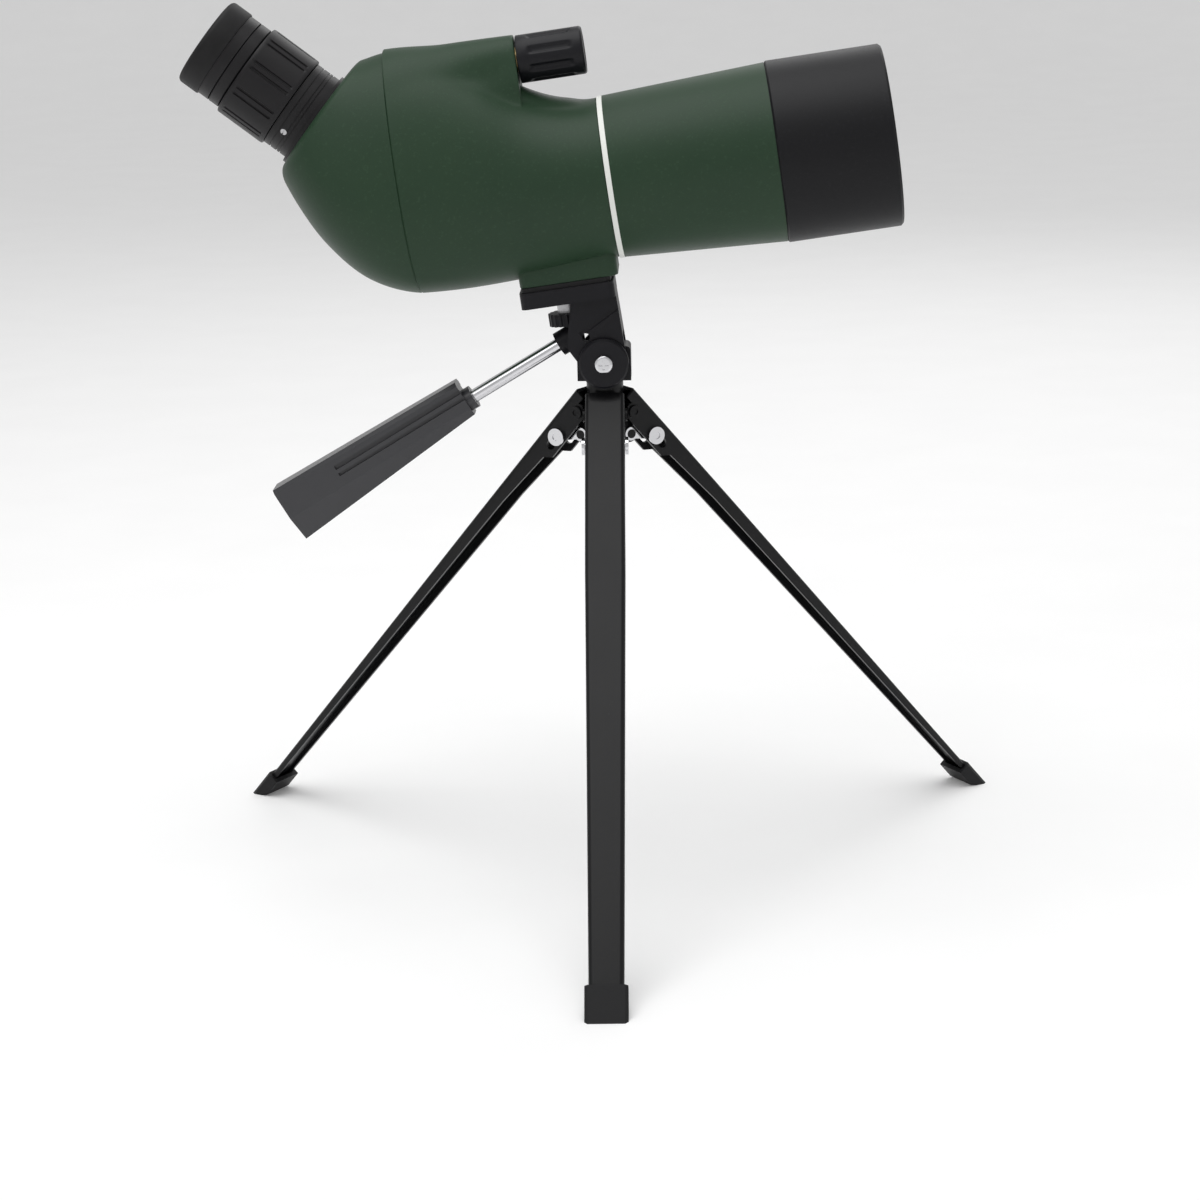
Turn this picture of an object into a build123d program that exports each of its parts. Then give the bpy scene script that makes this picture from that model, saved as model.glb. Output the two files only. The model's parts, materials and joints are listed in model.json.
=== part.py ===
from build123d import *
import os
from math import cos, radians, sin, sqrt, tan

os.makedirs("parts", exist_ok=True)

# Angled spotting scope on a folding table-top tripod. Millimetres, +Z up, +X where the scope looks.
# It is designed about the tripod's own axis and moved at the end so that its box stands on the origin.

# ---------------------------------------------------------------- clearances and walls
FIT = 0.05  # radial clearance of a shaft or sleeve that turns or slides in its hole
SEAT = 0.02  # radial clearance of a piece that is fixed in its hole
GAP = 0.3  # gap between faces that pass each other
WALL = 2.0  # wall of the two body castings
SHEET = 1.2  # steel of the legs

# ---------------------------------------------------------------- tripod
HUB_HEIGHT = 163.2  # ground to the hub's datum, with the legs open
LEG_ANGLE = 41.5  # leg from the vertical, open
LEG_FOLD = 40.0  # travel of a leg from open to folded
LEG_DIRECTIONS = {"front": -90, "right": 30, "left": 150}
PIVOT_R, PIVOT_Z = 7.5, -5.5  # leg hinge, from the hub's axis and datum
LINK = 8.0  # link length, and the drop from leg hinge to link hinge
LEG_BACK = 5.5  # hinge line to the outer face of the leg's web
LEG_TOP = 5.5  # leg beyond its hinge
LEG_WIDE, LEG_NARROW = 13.2, 10.9  # leg width at the shoulder and at the foot
LEG_SHOULDER = 62.0  # where the taper in width starts
EAR_R = 3.2  # ear round the leg's hinge
PIN_R = 1.5
FOOT_LENGTH, FOOT_LIP = 12.5, 1.0
LUG = 6.0  # hub lug thickness
LINK_PLATE = 1.2
NECK_R, NECK_TOP = 6.2, 5.4
HUB_CORE_R = 5.5
PAN_BOLT_R = 2.0

# ---------------------------------------------------------------- head
TILT_Z = 12.6  # tilt axis above the datum
BRACKET_LENGTH, BRACKET_WIDTH, BRACKET_TOP = 18.0, 12.8, 17.6
CHEEK_T = 2.8  # each cheek of the tilting arm
ARM_WIDTH = BRACKET_WIDTH + 2 * (GAP + CHEEK_T)
ARM_R = 7.8  # arm's round end about the tilt axis
AXLE_R = 2.0
DISC_R, DISC_T = 8.4, 2.5
SCREW_HEAD_R, SCREW_HEAD_T = 3.1, 1.6
PLATE_LENGTH, PLATE_WIDTH, PLATE_T = 31.6, 27.0, 5.4
PAD_T = 1.6
WHEEL_R, WHEEL_T = 7.3, 4.1
MOUNT_SCREW_R = 3.1  # quarter-inch camera screw
ROD_R, ROD_ANGLE = 2.3, 30.4
ROD_EXPOSED = 41.5
GRIP_LENGTH = 72.5

# ---------------------------------------------------------------- scope
TILT = 7.4  # nose-up set of the optical axis
AXIS_X, AXIS_Z = 3.5, 73.4  # accent ring's centre above the datum
RING_T, RING_R = 1.7, 26.9
BARREL_BACK_R = 26.8
LENS_R, LENS_RIM, RETAINER_T = 25.4, 4.0, 2.4
CELL_WALL = 2.95  # objective cell round the lens
HOOD_LENGTH, HOOD_WALL = 38.4, 1.3
HOOD_R = LENS_R + CELL_WALL + GAP + FIT + HOOD_WALL
HOOD_FRONT = 93.6
HOOD_TRAVEL = 25.0
SEAM = -68.0  # joint of the two castings, behind the ring
TURRET = -25.0  # front face of the focus turret
FOCUS_V, KNOB_R, KNOB_LENGTH = 42.5, 7.85, 22.0
FOOT_V = -31.0  # flat foot under the body
EYE_U, EYE_V, EYE_ANGLE = -94.05, 32.7, 45.0
EYE_TUBE_R, EYE_TUBE_WALL = 12.9, 1.2
EYE_BORE_R = EYE_TUBE_R - EYE_TUBE_WALL
EYE_LENS_R = EYE_BORE_R - 2.2
FLANGE_R, FLANGE_T = EYE_TUBE_R + 4.0, 1.1
FIXED_R, FIXED_T = EYE_TUBE_R + 2.6, 8.6
ZOOM_R, ZOOM_LENGTH = EYE_TUBE_R + 3.5, 18.2
TWIST_R, TWIST_T = EYE_TUBE_R + 2.3, 4.3
CUP_R, CUP_LENGTH = EYE_TUBE_R + 2.8, 11.7
SPIGOT_R, SPIGOT_LENGTH = EYE_TUBE_R - 0.4, 6.0

# ---------------------------------------------------------------- frames
HUB = Location((0, 0, 0))
SCOPE = Location((AXIS_X, 0, AXIS_Z), (0, -TILT, 0))
ALONG = Location((0, 0, 0), (0, 90, 0))  # a turned piece's Z laid along the scope
EYE = SCOPE * Location((EYE_U, 0, EYE_V), (0, -EYE_ANGLE, 0))
FOCUS = SCOPE * Location((0, 0, FOCUS_V)) * ALONG


def to_scope(x, z):
    """A point beside the hub, in the scope's own frame: along the axis and above it."""
    dx, dz = x - AXIS_X, z - AXIS_Z
    c, s = cos(radians(TILT)), sin(radians(TILT))
    return c * dx + s * dz, c * dz - s * dx


TILT_U, TILT_V = to_scope(0, TILT_Z)
SOCKET_X, SOCKET_Z = -10.8, TILT_Z + 7.5
ROD = Location((SOCKET_X, 0, SOCKET_Z), (0, -(90 + ROD_ANGLE), 0))  # Z runs out along the rod
PLATE_V = FOOT_V - PAD_T
PLATE_FRONT = TILT_U + ARM_R - 0.4
PLATE_MID = PLATE_FRONT - PLATE_LENGTH / 2
MOUNT_U = PLATE_MID - 0.8
WHEEL_V = PLATE_V - PLATE_T - 4.3

# ---------------------------------------------------------------- shape helpers


def tube(outer, inner, low, high):
    """A ring or tube on Z."""
    body = Pos(0, 0, (low + high) / 2) * Cylinder(outer, high - low)
    if inner > 0:
        body -= Pos(0, 0, (low + high) / 2) * Cylinder(inner, high - low + 2)
    return body


def turned(points):
    """A solid of revolution about Z from (radius, height) points."""
    outline = Polyline(*[(r, 0, z) for r, z in points], close=True)
    return revolve(Plane.XZ * make_face(Plane.XZ.to_local_coords(outline)), Axis.Z)


def across(radius, width, x, z, y=0.0):
    """A round bar along Y."""
    return Pos(x, y, z) * Rot(90, 0, 0) * Cylinder(radius, width)


def side_plate(points, width):
    """A flat profile in XZ, thick in Y about the middle."""
    outline = make_face(Plane.XZ * Polyline(*points, close=True))
    return extrude(outline, width / 2, both=True)


def block(x0, x1, y0, y1, z0, z1):
    """A box between two corners."""
    return Pos((x0 + x1) / 2, (y0 + y1) / 2, (z0 + z1) / 2) * Box(x1 - x0, y1 - y0, z1 - z0)


def oval_on(plane, above, below, half):
    """An oval whose widest line crosses the plane's origin: half an ellipse above it and another below."""
    halves = []
    for height, turn in ((above, 0), (below, 180)):
        steps = [radians(turn + 22.5 * k) for k in range(9)]
        points = [(half * cos(a), height * sin(a)) for a in steps]
        sense = 1 if turn == 0 else -1
        halves.append(Spline(*points, tangents=[(0, sense), (0, -sense)]))
    return plane * make_face(halves[0] + halves[1])


def oval(u, top, bottom, half, widest):
    """A casting's section across the scope."""
    plane = Plane(origin=(u, 0, widest), x_dir=(0, 1, 0), z_dir=(1, 0, 0))
    return oval_on(plane, top - widest, widest - bottom, half)


def disc_at(u, radius, v):
    """A round section of the focus turret."""
    return Plane(origin=(u, 0, v), x_dir=(0, 1, 0), z_dir=(1, 0, 0)) * Circle(radius)


PARTS = {}


def keep(name, shape, place=HUB):
    """File a piece under its name, in the tripod's frame."""
    PARTS[name] = place * shape
    return PARTS[name]


# ================================================================ tripod hub
def leg_place(direction):
    """Frame of one leg's side: X outwards from the hub."""
    return Location((0, 0, 0), (0, 0, direction))


LINK_Z = PIVOT_Z - LINK
LUG_TOP, LUG_BOTTOM = PIVOT_Z + EAR_R - 0.1, LINK_Z - EAR_R + 0.1


def hub_lug():
    """A lug that carries one leg's hinge above and its link's hinge below."""
    web = block(0, PIVOT_R + EAR_R - 0.1, -LUG / 2, LUG / 2, LINK_Z, PIVOT_Z)
    web += block(0, PIVOT_R, -LUG / 2, LUG / 2, LUG_BOTTOM, LUG_TOP)
    web += across(EAR_R - 0.1, LUG, PIVOT_R, PIVOT_Z) + across(EAR_R - 0.1, LUG, PIVOT_R, LINK_Z)
    web -= across(PIN_R + SEAT, LUG + 2, PIVOT_R, PIVOT_Z)
    web -= across(PIN_R + SEAT, LUG + 2, PIVOT_R, LINK_Z)
    return web


hub = tube(HUB_CORE_R, 0, LUG_BOTTOM, LUG_TOP) + tube(NECK_R, 0, LUG_TOP, NECK_TOP)
hub = chamfer(hub.edges().filter_by(GeomType.CIRCLE).sort_by(Axis.Z)[-1], 0.5)
for direction in LEG_DIRECTIONS.values():
    hub += leg_place(direction) * hub_lug()
hub -= tube(PAN_BOLT_R + FIT, 0, LUG_BOTTOM - 1, NECK_TOP + 1)
keep("tripod_hub", hub)

WASHER_T = 0.6
BRACKET_BOTTOM = NECK_TOP + WASHER_T
washers = [
    tube(NECK_R - 0.3, PAN_BOLT_R + 0.3, NECK_TOP, BRACKET_BOTTOM),
    tube(4.0, PAN_BOLT_R + 0.3, LUG_BOTTOM - WASHER_T, LUG_BOTTOM),
]
keep("pan_washers", Compound(washers))
BOLT_HEAD_T, BOLT_TIP = 3.0, BRACKET_BOTTOM + 3.4
bolt = tube(PAN_BOLT_R, 0, LUG_BOTTOM - WASHER_T, BOLT_TIP)
head = Pos(0, 0, LUG_BOTTOM - WASHER_T - BOLT_HEAD_T / 2)
bolt += head * extrude(RegularPolygon(3.6, 6), BOLT_HEAD_T / 2, both=True)
keep("pan_bolt", bolt)

# ================================================================ legs
LEG_PLACE = Location((PIVOT_R, 0, PIVOT_Z), (0, 90 - LEG_ANGLE, 0))  # X down the leg, Z out of its back


def on_ground(h):
    """How far down the leg the ground lies, at a height h above the hinge line."""
    down, out = cos(radians(LEG_ANGLE)), sin(radians(LEG_ANGLE))
    return (HUB_HEIGHT + PIVOT_Z + out * h) / down


LEG_END = on_ground(LEG_BACK) - 7.0
SLOT_OPEN = 2 * LINK * cos(radians(LEG_ANGLE))
SLOT_FOLDED = 2 * LINK * cos(radians(LEG_ANGLE - LEG_FOLD))
EAR_END = SLOT_FOLDED + PIN_R + 1.6


def leg_half_width(s, inset=0.0):
    """Half the leg's width at a distance down it."""
    share = max(0.0, (s - LEG_SHOULDER) / (LEG_END - LEG_SHOULDER))
    return (LEG_WIDE + (LEG_NARROW - LEG_WIDE) * share) / 2 - inset


def leg_plan(inset, low, high):
    """The leg seen from its back, as a tapering slab."""
    stations = [-LEG_TOP - 1, LEG_SHOULDER, LEG_END + 1]
    edge = [(s, leg_half_width(s, inset)) for s in stations]
    outline = Polyline(*edge, *[(s, -w) for s, w in reversed(edge)], close=True)
    return Pos(0, 0, low) * extrude(make_face(outline), high - low)


FLANGE_DEPTH_MID, FLANGE_DEPTH_END = 4.6, 2.2


def leg_channel():
    """Pressed steel channel with deep ears at the hub and shallow flanges at the foot."""
    side = [
        (-LEG_TOP, LEG_BACK),
        (LEG_END, LEG_BACK),
        (LEG_END, LEG_BACK - FLANGE_DEPTH_END),
        (46, LEG_BACK - FLANGE_DEPTH_MID),
        (EAR_END + 2.5, -0.6),
        (EAR_END, -EAR_R),
        (0, -EAR_R),
        (-LEG_TOP, 1.5),
    ]
    body = side_plate(side, LEG_WIDE + 4) & leg_plan(0, -10, 10)
    long_edges = [e for e in body.edges() if e.center().Z > LEG_BACK - 0.01 and abs(e.center().Y) > 4]
    body = fillet(long_edges, SHEET + 0.3)
    hollow = leg_plan(SHEET, -10, LEG_BACK - SHEET)
    body -= hollow
    nose = block(-LEG_TOP - 1, 0, -20, 20, -EAR_R - 1, 1.4) - across(EAR_R, 40, 0, 0)
    body -= nose
    body -= across(PIN_R + FIT, LEG_WIDE + 4, 0, 0)
    slot = across(PIN_R + 0.1, LEG_WIDE + 4, SLOT_OPEN - 0.1, 0)
    slot += across(PIN_R + 0.1, LEG_WIDE + 4, SLOT_FOLDED + 0.2, 0)
    slot += block(SLOT_OPEN - 0.1, SLOT_FOLDED + 0.2, -10, 10, -PIN_R - 0.1, PIN_R + 0.1)
    return body - slot


def leg_foot():
    """Plastic shoe pressed on the leg's end, cut flat where it meets the ground."""
    top, low = LEG_BACK + FOOT_LIP, LEG_BACK - FLANGE_DEPTH_END - 1.9
    tip = on_ground(top)
    start = tip - FOOT_LENGTH
    flat_h = top - 3.6
    side = [(start, top), (tip, top), (on_ground(flat_h), flat_h), (tip - 5.2, low), (start, low)]
    body = side_plate(side, 13.4)
    body = chamfer(body.edges().filter_by(Axis.X).group_by(Axis.Z)[-1], 1.0)
    socket = leg_plan(-SEAT, LEG_BACK - FLANGE_DEPTH_END - 0.3, LEG_BACK + SEAT)
    body -= socket & block(start - 1, LEG_END + 0.1, -20, 20, -20, 20)
    return body


def pin_with_heads(grip, head_r, head_t, shank=PIN_R):
    """Hollow-headed rivet across the leg."""
    pin = across(shank, grip + 0.2, 0, 0)
    for side in (-1, 1):
        y = side * (grip / 2 + head_t / 2 + 0.1)
        cap = across(head_r, head_t, 0, 0, y)
        cap -= across(head_r * 0.42, 0.7, 0, 0, side * (grip / 2 + head_t + 0.1))
        pin += cap
    return pin


def link_plates():
    """Two flat links either side of the hub's lug, joined by a spacer at the leg's end."""
    open_angle = radians(2 * LEG_ANGLE)
    tip_x, tip_z = PIVOT_R + LINK * sin(open_angle), LINK_Z - LINK * cos(open_angle)
    middle = Location((PIVOT_R, 0, LINK_Z), (0, 90 - 2 * LEG_ANGLE, 0))
    body = None
    for side in (-1, 1):
        y = side * (LUG / 2 + 0.2 + LINK_PLATE / 2)
        plate = middle * block(0, LINK, y - LINK_PLATE / 2, y + LINK_PLATE / 2, -1.6, 1.6)
        plate += across(2.35, LINK_PLATE, PIVOT_R, LINK_Z, y) + across(2.35, LINK_PLATE, tip_x, tip_z, y)
        plate -= across(PIN_R + FIT, LINK_PLATE + 1, PIVOT_R, LINK_Z, y)
        body = plate if body is None else body + plate
    body += across(2.1, LUG + 0.4, tip_x, tip_z)
    return body - across(PIN_R + SEAT, 20, tip_x, tip_z)


LINK_TIP = Pos(
    PIVOT_R + LINK * sin(radians(2 * LEG_ANGLE)), 0, LINK_Z - LINK * cos(radians(2 * LEG_ANGLE))
)
channel, shoe, plates = leg_channel(), leg_foot(), link_plates()
tip_pin = LINK_TIP * pin_with_heads(LEG_WIDE + 0.2, 3.0, 1.0)
pivot_pin = Pos(PIVOT_R, 0, PIVOT_Z) * pin_with_heads(LEG_WIDE + 0.2, 2.2, 0.7)
link_pin = Pos(PIVOT_R, 0, LINK_Z) * across(PIN_R, LUG + 2 * LINK_PLATE + 0.8, 0, 0)
for name, direction in LEG_DIRECTIONS.items():
    place = leg_place(direction)
    keep("leg_" + name, channel, place * LEG_PLACE)
    keep("foot_" + name, shoe, place * LEG_PLACE)
    keep("link_" + name, plates, place)
    keep("link_tip_pin_" + name, tip_pin, place)
hub_pins = [leg_place(d) * pin for d in LEG_DIRECTIONS.values() for pin in (pivot_pin, link_pin)]
keep("hub_hinge_pins", Compound(hub_pins))

# ================================================================ head
bracket = block(
    -BRACKET_LENGTH / 2, BRACKET_LENGTH / 2, -BRACKET_WIDTH / 2, BRACKET_WIDTH / 2,
    BRACKET_BOTTOM, BRACKET_TOP,
)
bracket = fillet([e for e in bracket.edges().filter_by(Axis.Y) if e.center().Z > TILT_Z], 1.6)
bracket -= across(AXLE_R + FIT, 30, 0, TILT_Z)
bracket -= tube(PAN_BOLT_R + SEAT, 0, BRACKET_BOTTOM - 1, BOLT_TIP + 0.2)
keep("pan_bracket", bracket)

SWING_R = 11.2  # clear of the bracket's corners as the head tilts
ARM_BACK = -22.6
arm_side = [
    (PLATE_FRONT, PLATE_V - PLATE_T),
    (TILT_U + ARM_R, TILT_V),
    (TILT_U - ARM_R, TILT_V),
    (ARM_BACK, TILT_V + 6.4),
    (ARM_BACK + 1.2, TILT_V + 12.6),
    (ARM_BACK + 3.6, PLATE_V - PLATE_T),
]
plate = block(
    PLATE_FRONT - PLATE_LENGTH, PLATE_FRONT, -PLATE_WIDTH / 2, PLATE_WIDTH / 2,
    PLATE_V - PLATE_T, PLATE_V,
)
plate = fillet(plate.edges().filter_by(Axis.Z), 2.5)
arm = side_plate(arm_side, ARM_WIDTH) + across(ARM_R, ARM_WIDTH, TILT_U, TILT_V)
WHEEL_ROOM = 0.6
POCKET_HALF = WHEEL_R + WHEEL_ROOM
pocket_low, pocket_high = WHEEL_V - WHEEL_T - WHEEL_ROOM, PLATE_V - PLATE_T
arm -= block(-40, MOUNT_U + WHEEL_R + 1.2, -POCKET_HALF, POCKET_HALF, pocket_low, pocket_high)
fork = BRACKET_WIDTH / 2 + GAP
arm -= across(SWING_R, 2 * fork, TILT_U, TILT_V)
arm -= block(-40, 10, -fork, fork, TILT_V - 20, TILT_V)
WINDOW_R, WINDOW_U, WINDOW_V, WINDOW_DROP = 1.3, TILT_U - 4.6, TILT_V + 9.4, 3.6
arm -= across(WINDOW_R, 2 * ARM_WIDTH, WINDOW_U, WINDOW_V)
arm -= across(WINDOW_R, ARM_WIDTH, WINDOW_U, WINDOW_V - WINDOW_DROP, ARM_WIDTH / 2)
arm -= block(
    WINDOW_U - WINDOW_R, WINDOW_U + WINDOW_R, 0, ARM_WIDTH,
    WINDOW_V - WINDOW_DROP, WINDOW_V,
)
ledge = Pos(TILT_U + 1.2, 0, TILT_V + 14.6) * Rot(0, -28, 0)
for side in (-1, 1):
    arm -= ledge * Pos(0, side * ARM_WIDTH / 2, 0) * Box(17, 1.2, 1.5)
arm += plate
arm -= Pos(MOUNT_U, 0, PLATE_V - PLATE_T / 2) * Cylinder(MOUNT_SCREW_R + 0.4, PLATE_T + 2)
arm = SCOPE * arm
socket_boss = ROD * tube(ROD_R + 1.8, 0, -1.6, 5.0)
swing_room = across(SWING_R, 2 * fork, 0, TILT_Z)
wheel_room = SCOPE * (Pos(MOUNT_U, 0, WHEEL_V - WHEEL_T / 2) * Cylinder(POCKET_HALF, WHEEL_T + 1.4))
arm = arm + (socket_boss - swing_room - wheel_room)
arm -= ROD * tube(ROD_R + FIT, 0, -0.4, 12)
arm -= across(AXLE_R + SEAT, 40, 0, TILT_Z)
keep("tilt_arm", arm)

pad = block(
    PLATE_FRONT - PLATE_LENGTH + 0.8, PLATE_FRONT - 0.8, -PLATE_WIDTH / 2 + 0.8, PLATE_WIDTH / 2 - 0.8,
    PLATE_V, FOOT_V,
)
pad = fillet(pad.edges().filter_by(Axis.Z), 2.0)
pad -= Pos(MOUNT_U, 0, FOOT_V) * Cylinder(MOUNT_SCREW_R + 0.8, 10)
for k in range(7):
    rib = PLATE_FRONT - PLATE_LENGTH + 4.0 + 3.9 * k
    for side in (-1, 1):
        pad -= Pos(rib, side * 9.2, FOOT_V) * Box(1.0, 5.6, 0.8)
keep("platform_pad", pad, SCOPE)

INSERT_DEPTH = 8.0
stud = tube(MOUNT_SCREW_R, 0, WHEEL_V - WHEEL_T + 0.4, FOOT_V + INSERT_DEPTH - 1.6)
stud += tube(MOUNT_SCREW_R + 0.8, 0, WHEEL_V + 0.0, PLATE_V - PLATE_T - GAP)
keep("camera_screw", Pos(MOUNT_U, 0, 0) * stud, SCOPE)
wheel = tube(WHEEL_R, MOUNT_SCREW_R + SEAT, WHEEL_V - WHEEL_T, WHEEL_V)
KNURLS = 20
for k in range(KNURLS):
    notch = Pos(WHEEL_R + 0.25, 0, WHEEL_V - WHEEL_T / 2) * Cylinder(0.75, WHEEL_T + 1)
    wheel -= Rot(0, 0, 360 * k / KNURLS) * notch
keep("camera_screw_wheel", Pos(MOUNT_U, 0, 0) * wheel, SCOPE)

DISC_IN = ARM_WIDTH / 2
DISC_BEVEL = 0.7
disc = turned([
    (AXLE_R + SEAT, 0), (DISC_R, 0), (DISC_R, DISC_T - DISC_BEVEL),
    (DISC_R - DISC_BEVEL, DISC_T), (AXLE_R + SEAT, DISC_T),
])
discs = [Pos(0, side * DISC_IN, TILT_Z) * Rot(-side * 90, 0, 0) * disc for side in (-1, 1)]
keep("tilt_discs", Compound(discs))
HEAD_Y = DISC_IN + DISC_T
screw = across(AXLE_R, 2 * HEAD_Y + 3.2, 0, TILT_Z, 1.6)
dome = across(SCREW_HEAD_R, SCREW_HEAD_T, 0, TILT_Z, -HEAD_Y - SCREW_HEAD_T / 2)
rims = [e for e in dome.edges().filter_by(GeomType.CIRCLE) if e.center().Y < -HEAD_Y - 0.8]
dome = fillet(rims, 0.9)
for size in ((3.4, 0.8), (0.8, 3.4)):
    dome -= Pos(0, -HEAD_Y - SCREW_HEAD_T, TILT_Z) * Box(size[0], 1.6, size[1])
keep("tilt_screw", screw + dome)
NUT_T = 2.4
nut = extrude(RegularPolygon(3.9, 6), NUT_T / 2, both=True)
nut = Pos(0, HEAD_Y + NUT_T / 2, TILT_Z) * Rot(90, 0, 0) * nut
keep("tilt_nut", nut - across(AXLE_R + SEAT, 60, 0, TILT_Z))

# ================================================================ pan handle
ROD_IN_GRIP = 30.0
keep("handle_rod", tube(ROD_R, 0, 0, ROD_EXPOSED + ROD_IN_GRIP), ROD)
COLLAR_R, COLLAR_LENGTH = ROD_R + 1.7, 2.6
GRIP_BEVEL = 1.3  # along the grip's top edge
GRIP_SECTIONS = [  # height above the rod, depth below it, flat face, thickness, keel
    (ROD_EXPOSED, 7.8, 5.0, 8.9, 10.4, 6.6),
    (ROD_EXPOSED + GRIP_LENGTH, 8.8, 11.6, 9.9, 13.6, 5.4),
]


def grip_section(z, high, low, face, thick, keel):
    """Section of the grip: narrow top, flat sides, and a keel that narrows downwards. X is up."""
    side = [
        (high, thick / 2 - GRIP_BEVEL), (high - GRIP_BEVEL, thick / 2),
        (high - GRIP_BEVEL - face, thick / 2), (-low, keel / 2),
    ]
    return Pos(0, 0, z) * make_face(Polyline(*side, *[(x, -y) for x, y in reversed(side)], close=True))


grip = loft([grip_section(*row) for row in GRIP_SECTIONS])
GROOVE_LENGTH, GROOVE_DEPTH, GROOVE_FLARE = 50.0, 1.2, 1.25
GROOVES = {4.4: 1.5, 1.75: 1.1}  # place above the rod, and width
near_face = GRIP_SECTIONS[0][4] / 2
for side in (-1, 1):
    for offset, width in GROOVES.items():
        middle = side * (near_face + GROOVE_LENGTH / 2 * tan(radians(GROOVE_FLARE)))
        trench = Pos(offset, middle, ROD_EXPOSED + GROOVE_LENGTH / 2 - 1)
        grip -= trench * Rot(side * -GROOVE_FLARE, 0, 0) * Box(width, 2 * GROOVE_DEPTH, GROOVE_LENGTH + 2)
grip += tube(COLLAR_R, 0, ROD_EXPOSED - COLLAR_LENGTH, ROD_EXPOSED)
grip -= tube(ROD_R + SEAT, 0, ROD_EXPOSED - 5, ROD_EXPOSED + ROD_IN_GRIP + 0.2)
keep("handle_grip", grip, ROD)

# ================================================================ scope body castings
BODY_START = -RING_T / 2
FRONT_R = RING_R - 0.5
BODY_PROFILE = [  # share of the way back to the seam, top, bottom, half width
    (0.0, FRONT_R, -FRONT_R, FRONT_R),
    (0.196, 27.2, -27.6, 27.0),
    (0.389, 32.0, -28.6, 27.5),
    (0.583, 41.5, -29.3, 27.9),
    (0.791, 48.8, -29.5, 28.2),
    (1.0, 51.2, -28.8, 28.3),
]
BODY_SECTIONS = [(BODY_START + share * (SEAM - BODY_START), *row) for share, *row in BODY_PROFILE]
TURRET_R = KNOB_R + GAP
TURRET_MID = TURRET + 0.476 * (SEAM - TURRET)
TURRET_SECTIONS = [(TURRET, TURRET_R, FOCUS_V), (TURRET_MID, 11.5, 39.6), (SEAM + 1, 17.0, 34.0)]
SADDLE_SECTIONS = [
    (0.22 * TURRET, 7.0, 19.2), (0.52 * TURRET, 7.6, 20.6),
    (0.78 * TURRET, 8.0, 23.0), (TURRET - 0.5, TURRET_R, 26.2),
]


def waist(top):
    """Height of a section's widest line: it climbs as the top does."""
    return 0.12 * (top - FRONT_R)


def casting(sections, inset):
    """Lofted outside of a casting, or its inside when inset by the wall."""
    return loft([oval(u, t - inset, b + inset, h - inset, waist(t)) for u, t, b, h in sections])


def round_loft(sections):
    """The focus turret, its bay, or the saddle that leads up to it."""
    return loft([disc_at(u, r, v) for u, r, v in sections])


body = casting(BODY_SECTIONS, 0) + round_loft(TURRET_SECTIONS) + round_loft(SADDLE_SECTIONS)
FOOT_HALF, FOOT_FRONT, FOOT_REAR = 12.5, -2.0, -35.0
foot = block(FOOT_REAR, FOOT_FRONT, -FOOT_HALF, FOOT_HALF, FOOT_V, -22)
foot = fillet(foot.edges().filter_by(Axis.Z), 3.0)
body += foot
inner = casting(BODY_SECTIONS, WALL)
TURRET_WALL = 2.1
BAY_SECTIONS = [(u, r - TURRET_WALL, v) for u, r, v in TURRET_SECTIONS]
BAY_SECTIONS[0] = (TURRET - 2.4, *BAY_SECTIONS[0][1:])
BAY_SECTIONS[-1] = (SEAM - 1, *BAY_SECTIONS[-1][1:])
bay = round_loft(BAY_SECTIONS)
back_cut = block(SEAM - 40, SEAM, -60, 60, -60, 80)
INSERT_R, BOSS_TOP = MOUNT_SCREW_R + 1.9, -21.5
insert_boss = Pos(MOUNT_U, 0, (FOOT_V + BOSS_TOP) / 2) * Cylinder(INSERT_R + 2.0, BOSS_TOP - FOOT_V)
body = body - inner - bay - back_cut
body += insert_boss & block(FOOT_REAR, FOOT_FRONT, -8, 8, FOOT_V, BOSS_TOP)
THROAT_R = 23.4
body += ALONG * tube(FRONT_R - 0.8, THROAT_R, -8.0, BODY_START)
SHAFT_R, BUSH_R = 2.5, 4.0
body -= Pos(0, 0, FOCUS_V) * ALONG * tube(BUSH_R + SEAT, 0, TURRET - 6, TURRET + 3)
body -= Pos(MOUNT_U, 0, FOOT_V + INSERT_DEPTH / 2 - 0.5) * Cylinder(INSERT_R + SEAT, INSERT_DEPTH + 1)
keep("main_body", body, SCOPE)
insert = Pos(MOUNT_U, 0, 0) * tube(INSERT_R, MOUNT_SCREW_R + FIT, FOOT_V, FOOT_V + INSERT_DEPTH)
keep("tripod_insert", insert, SCOPE)

# The rear housing bends from the seam to the eyepiece's seat: its sections all turn about the line
# where those two planes meet, and are measured down from it.
ELBOW = 90 - EYE_ANGLE
HINGE_DOWN = (SEAM - EYE_U) / cos(radians(EYE_ANGLE))
HINGE_V = EYE_V + HINGE_DOWN * sin(radians(EYE_ANGLE))
SEAT_R = FLANGE_R + 0.5
SEAT_UP, SEAT_DOWN, SEAT_SIDE, SEAT_SAG = SEAT_R + 6.8, SEAT_R + 3.0, SEAT_R + 2.6, 1.7
ELBOW_SHARES = [  # of the turn, then of the change in upper line, lower line, widest line, half width
    (0.0, 0.0, 0.0, 0.0, 0.0),
    (0.25, 0.06, 0.173, 0.087, 0.072),
    (0.5, 0.208, 0.470, 0.289, 0.277),
    (0.75, 0.505, 0.766, 0.624, 0.614),
    (1.0, 1.0, 1.0, 1.0, 1.0),
]
SEAM_TOP, SEAM_BOTTOM, SEAM_HALF = BODY_PROFILE[-1][1:]
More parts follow.
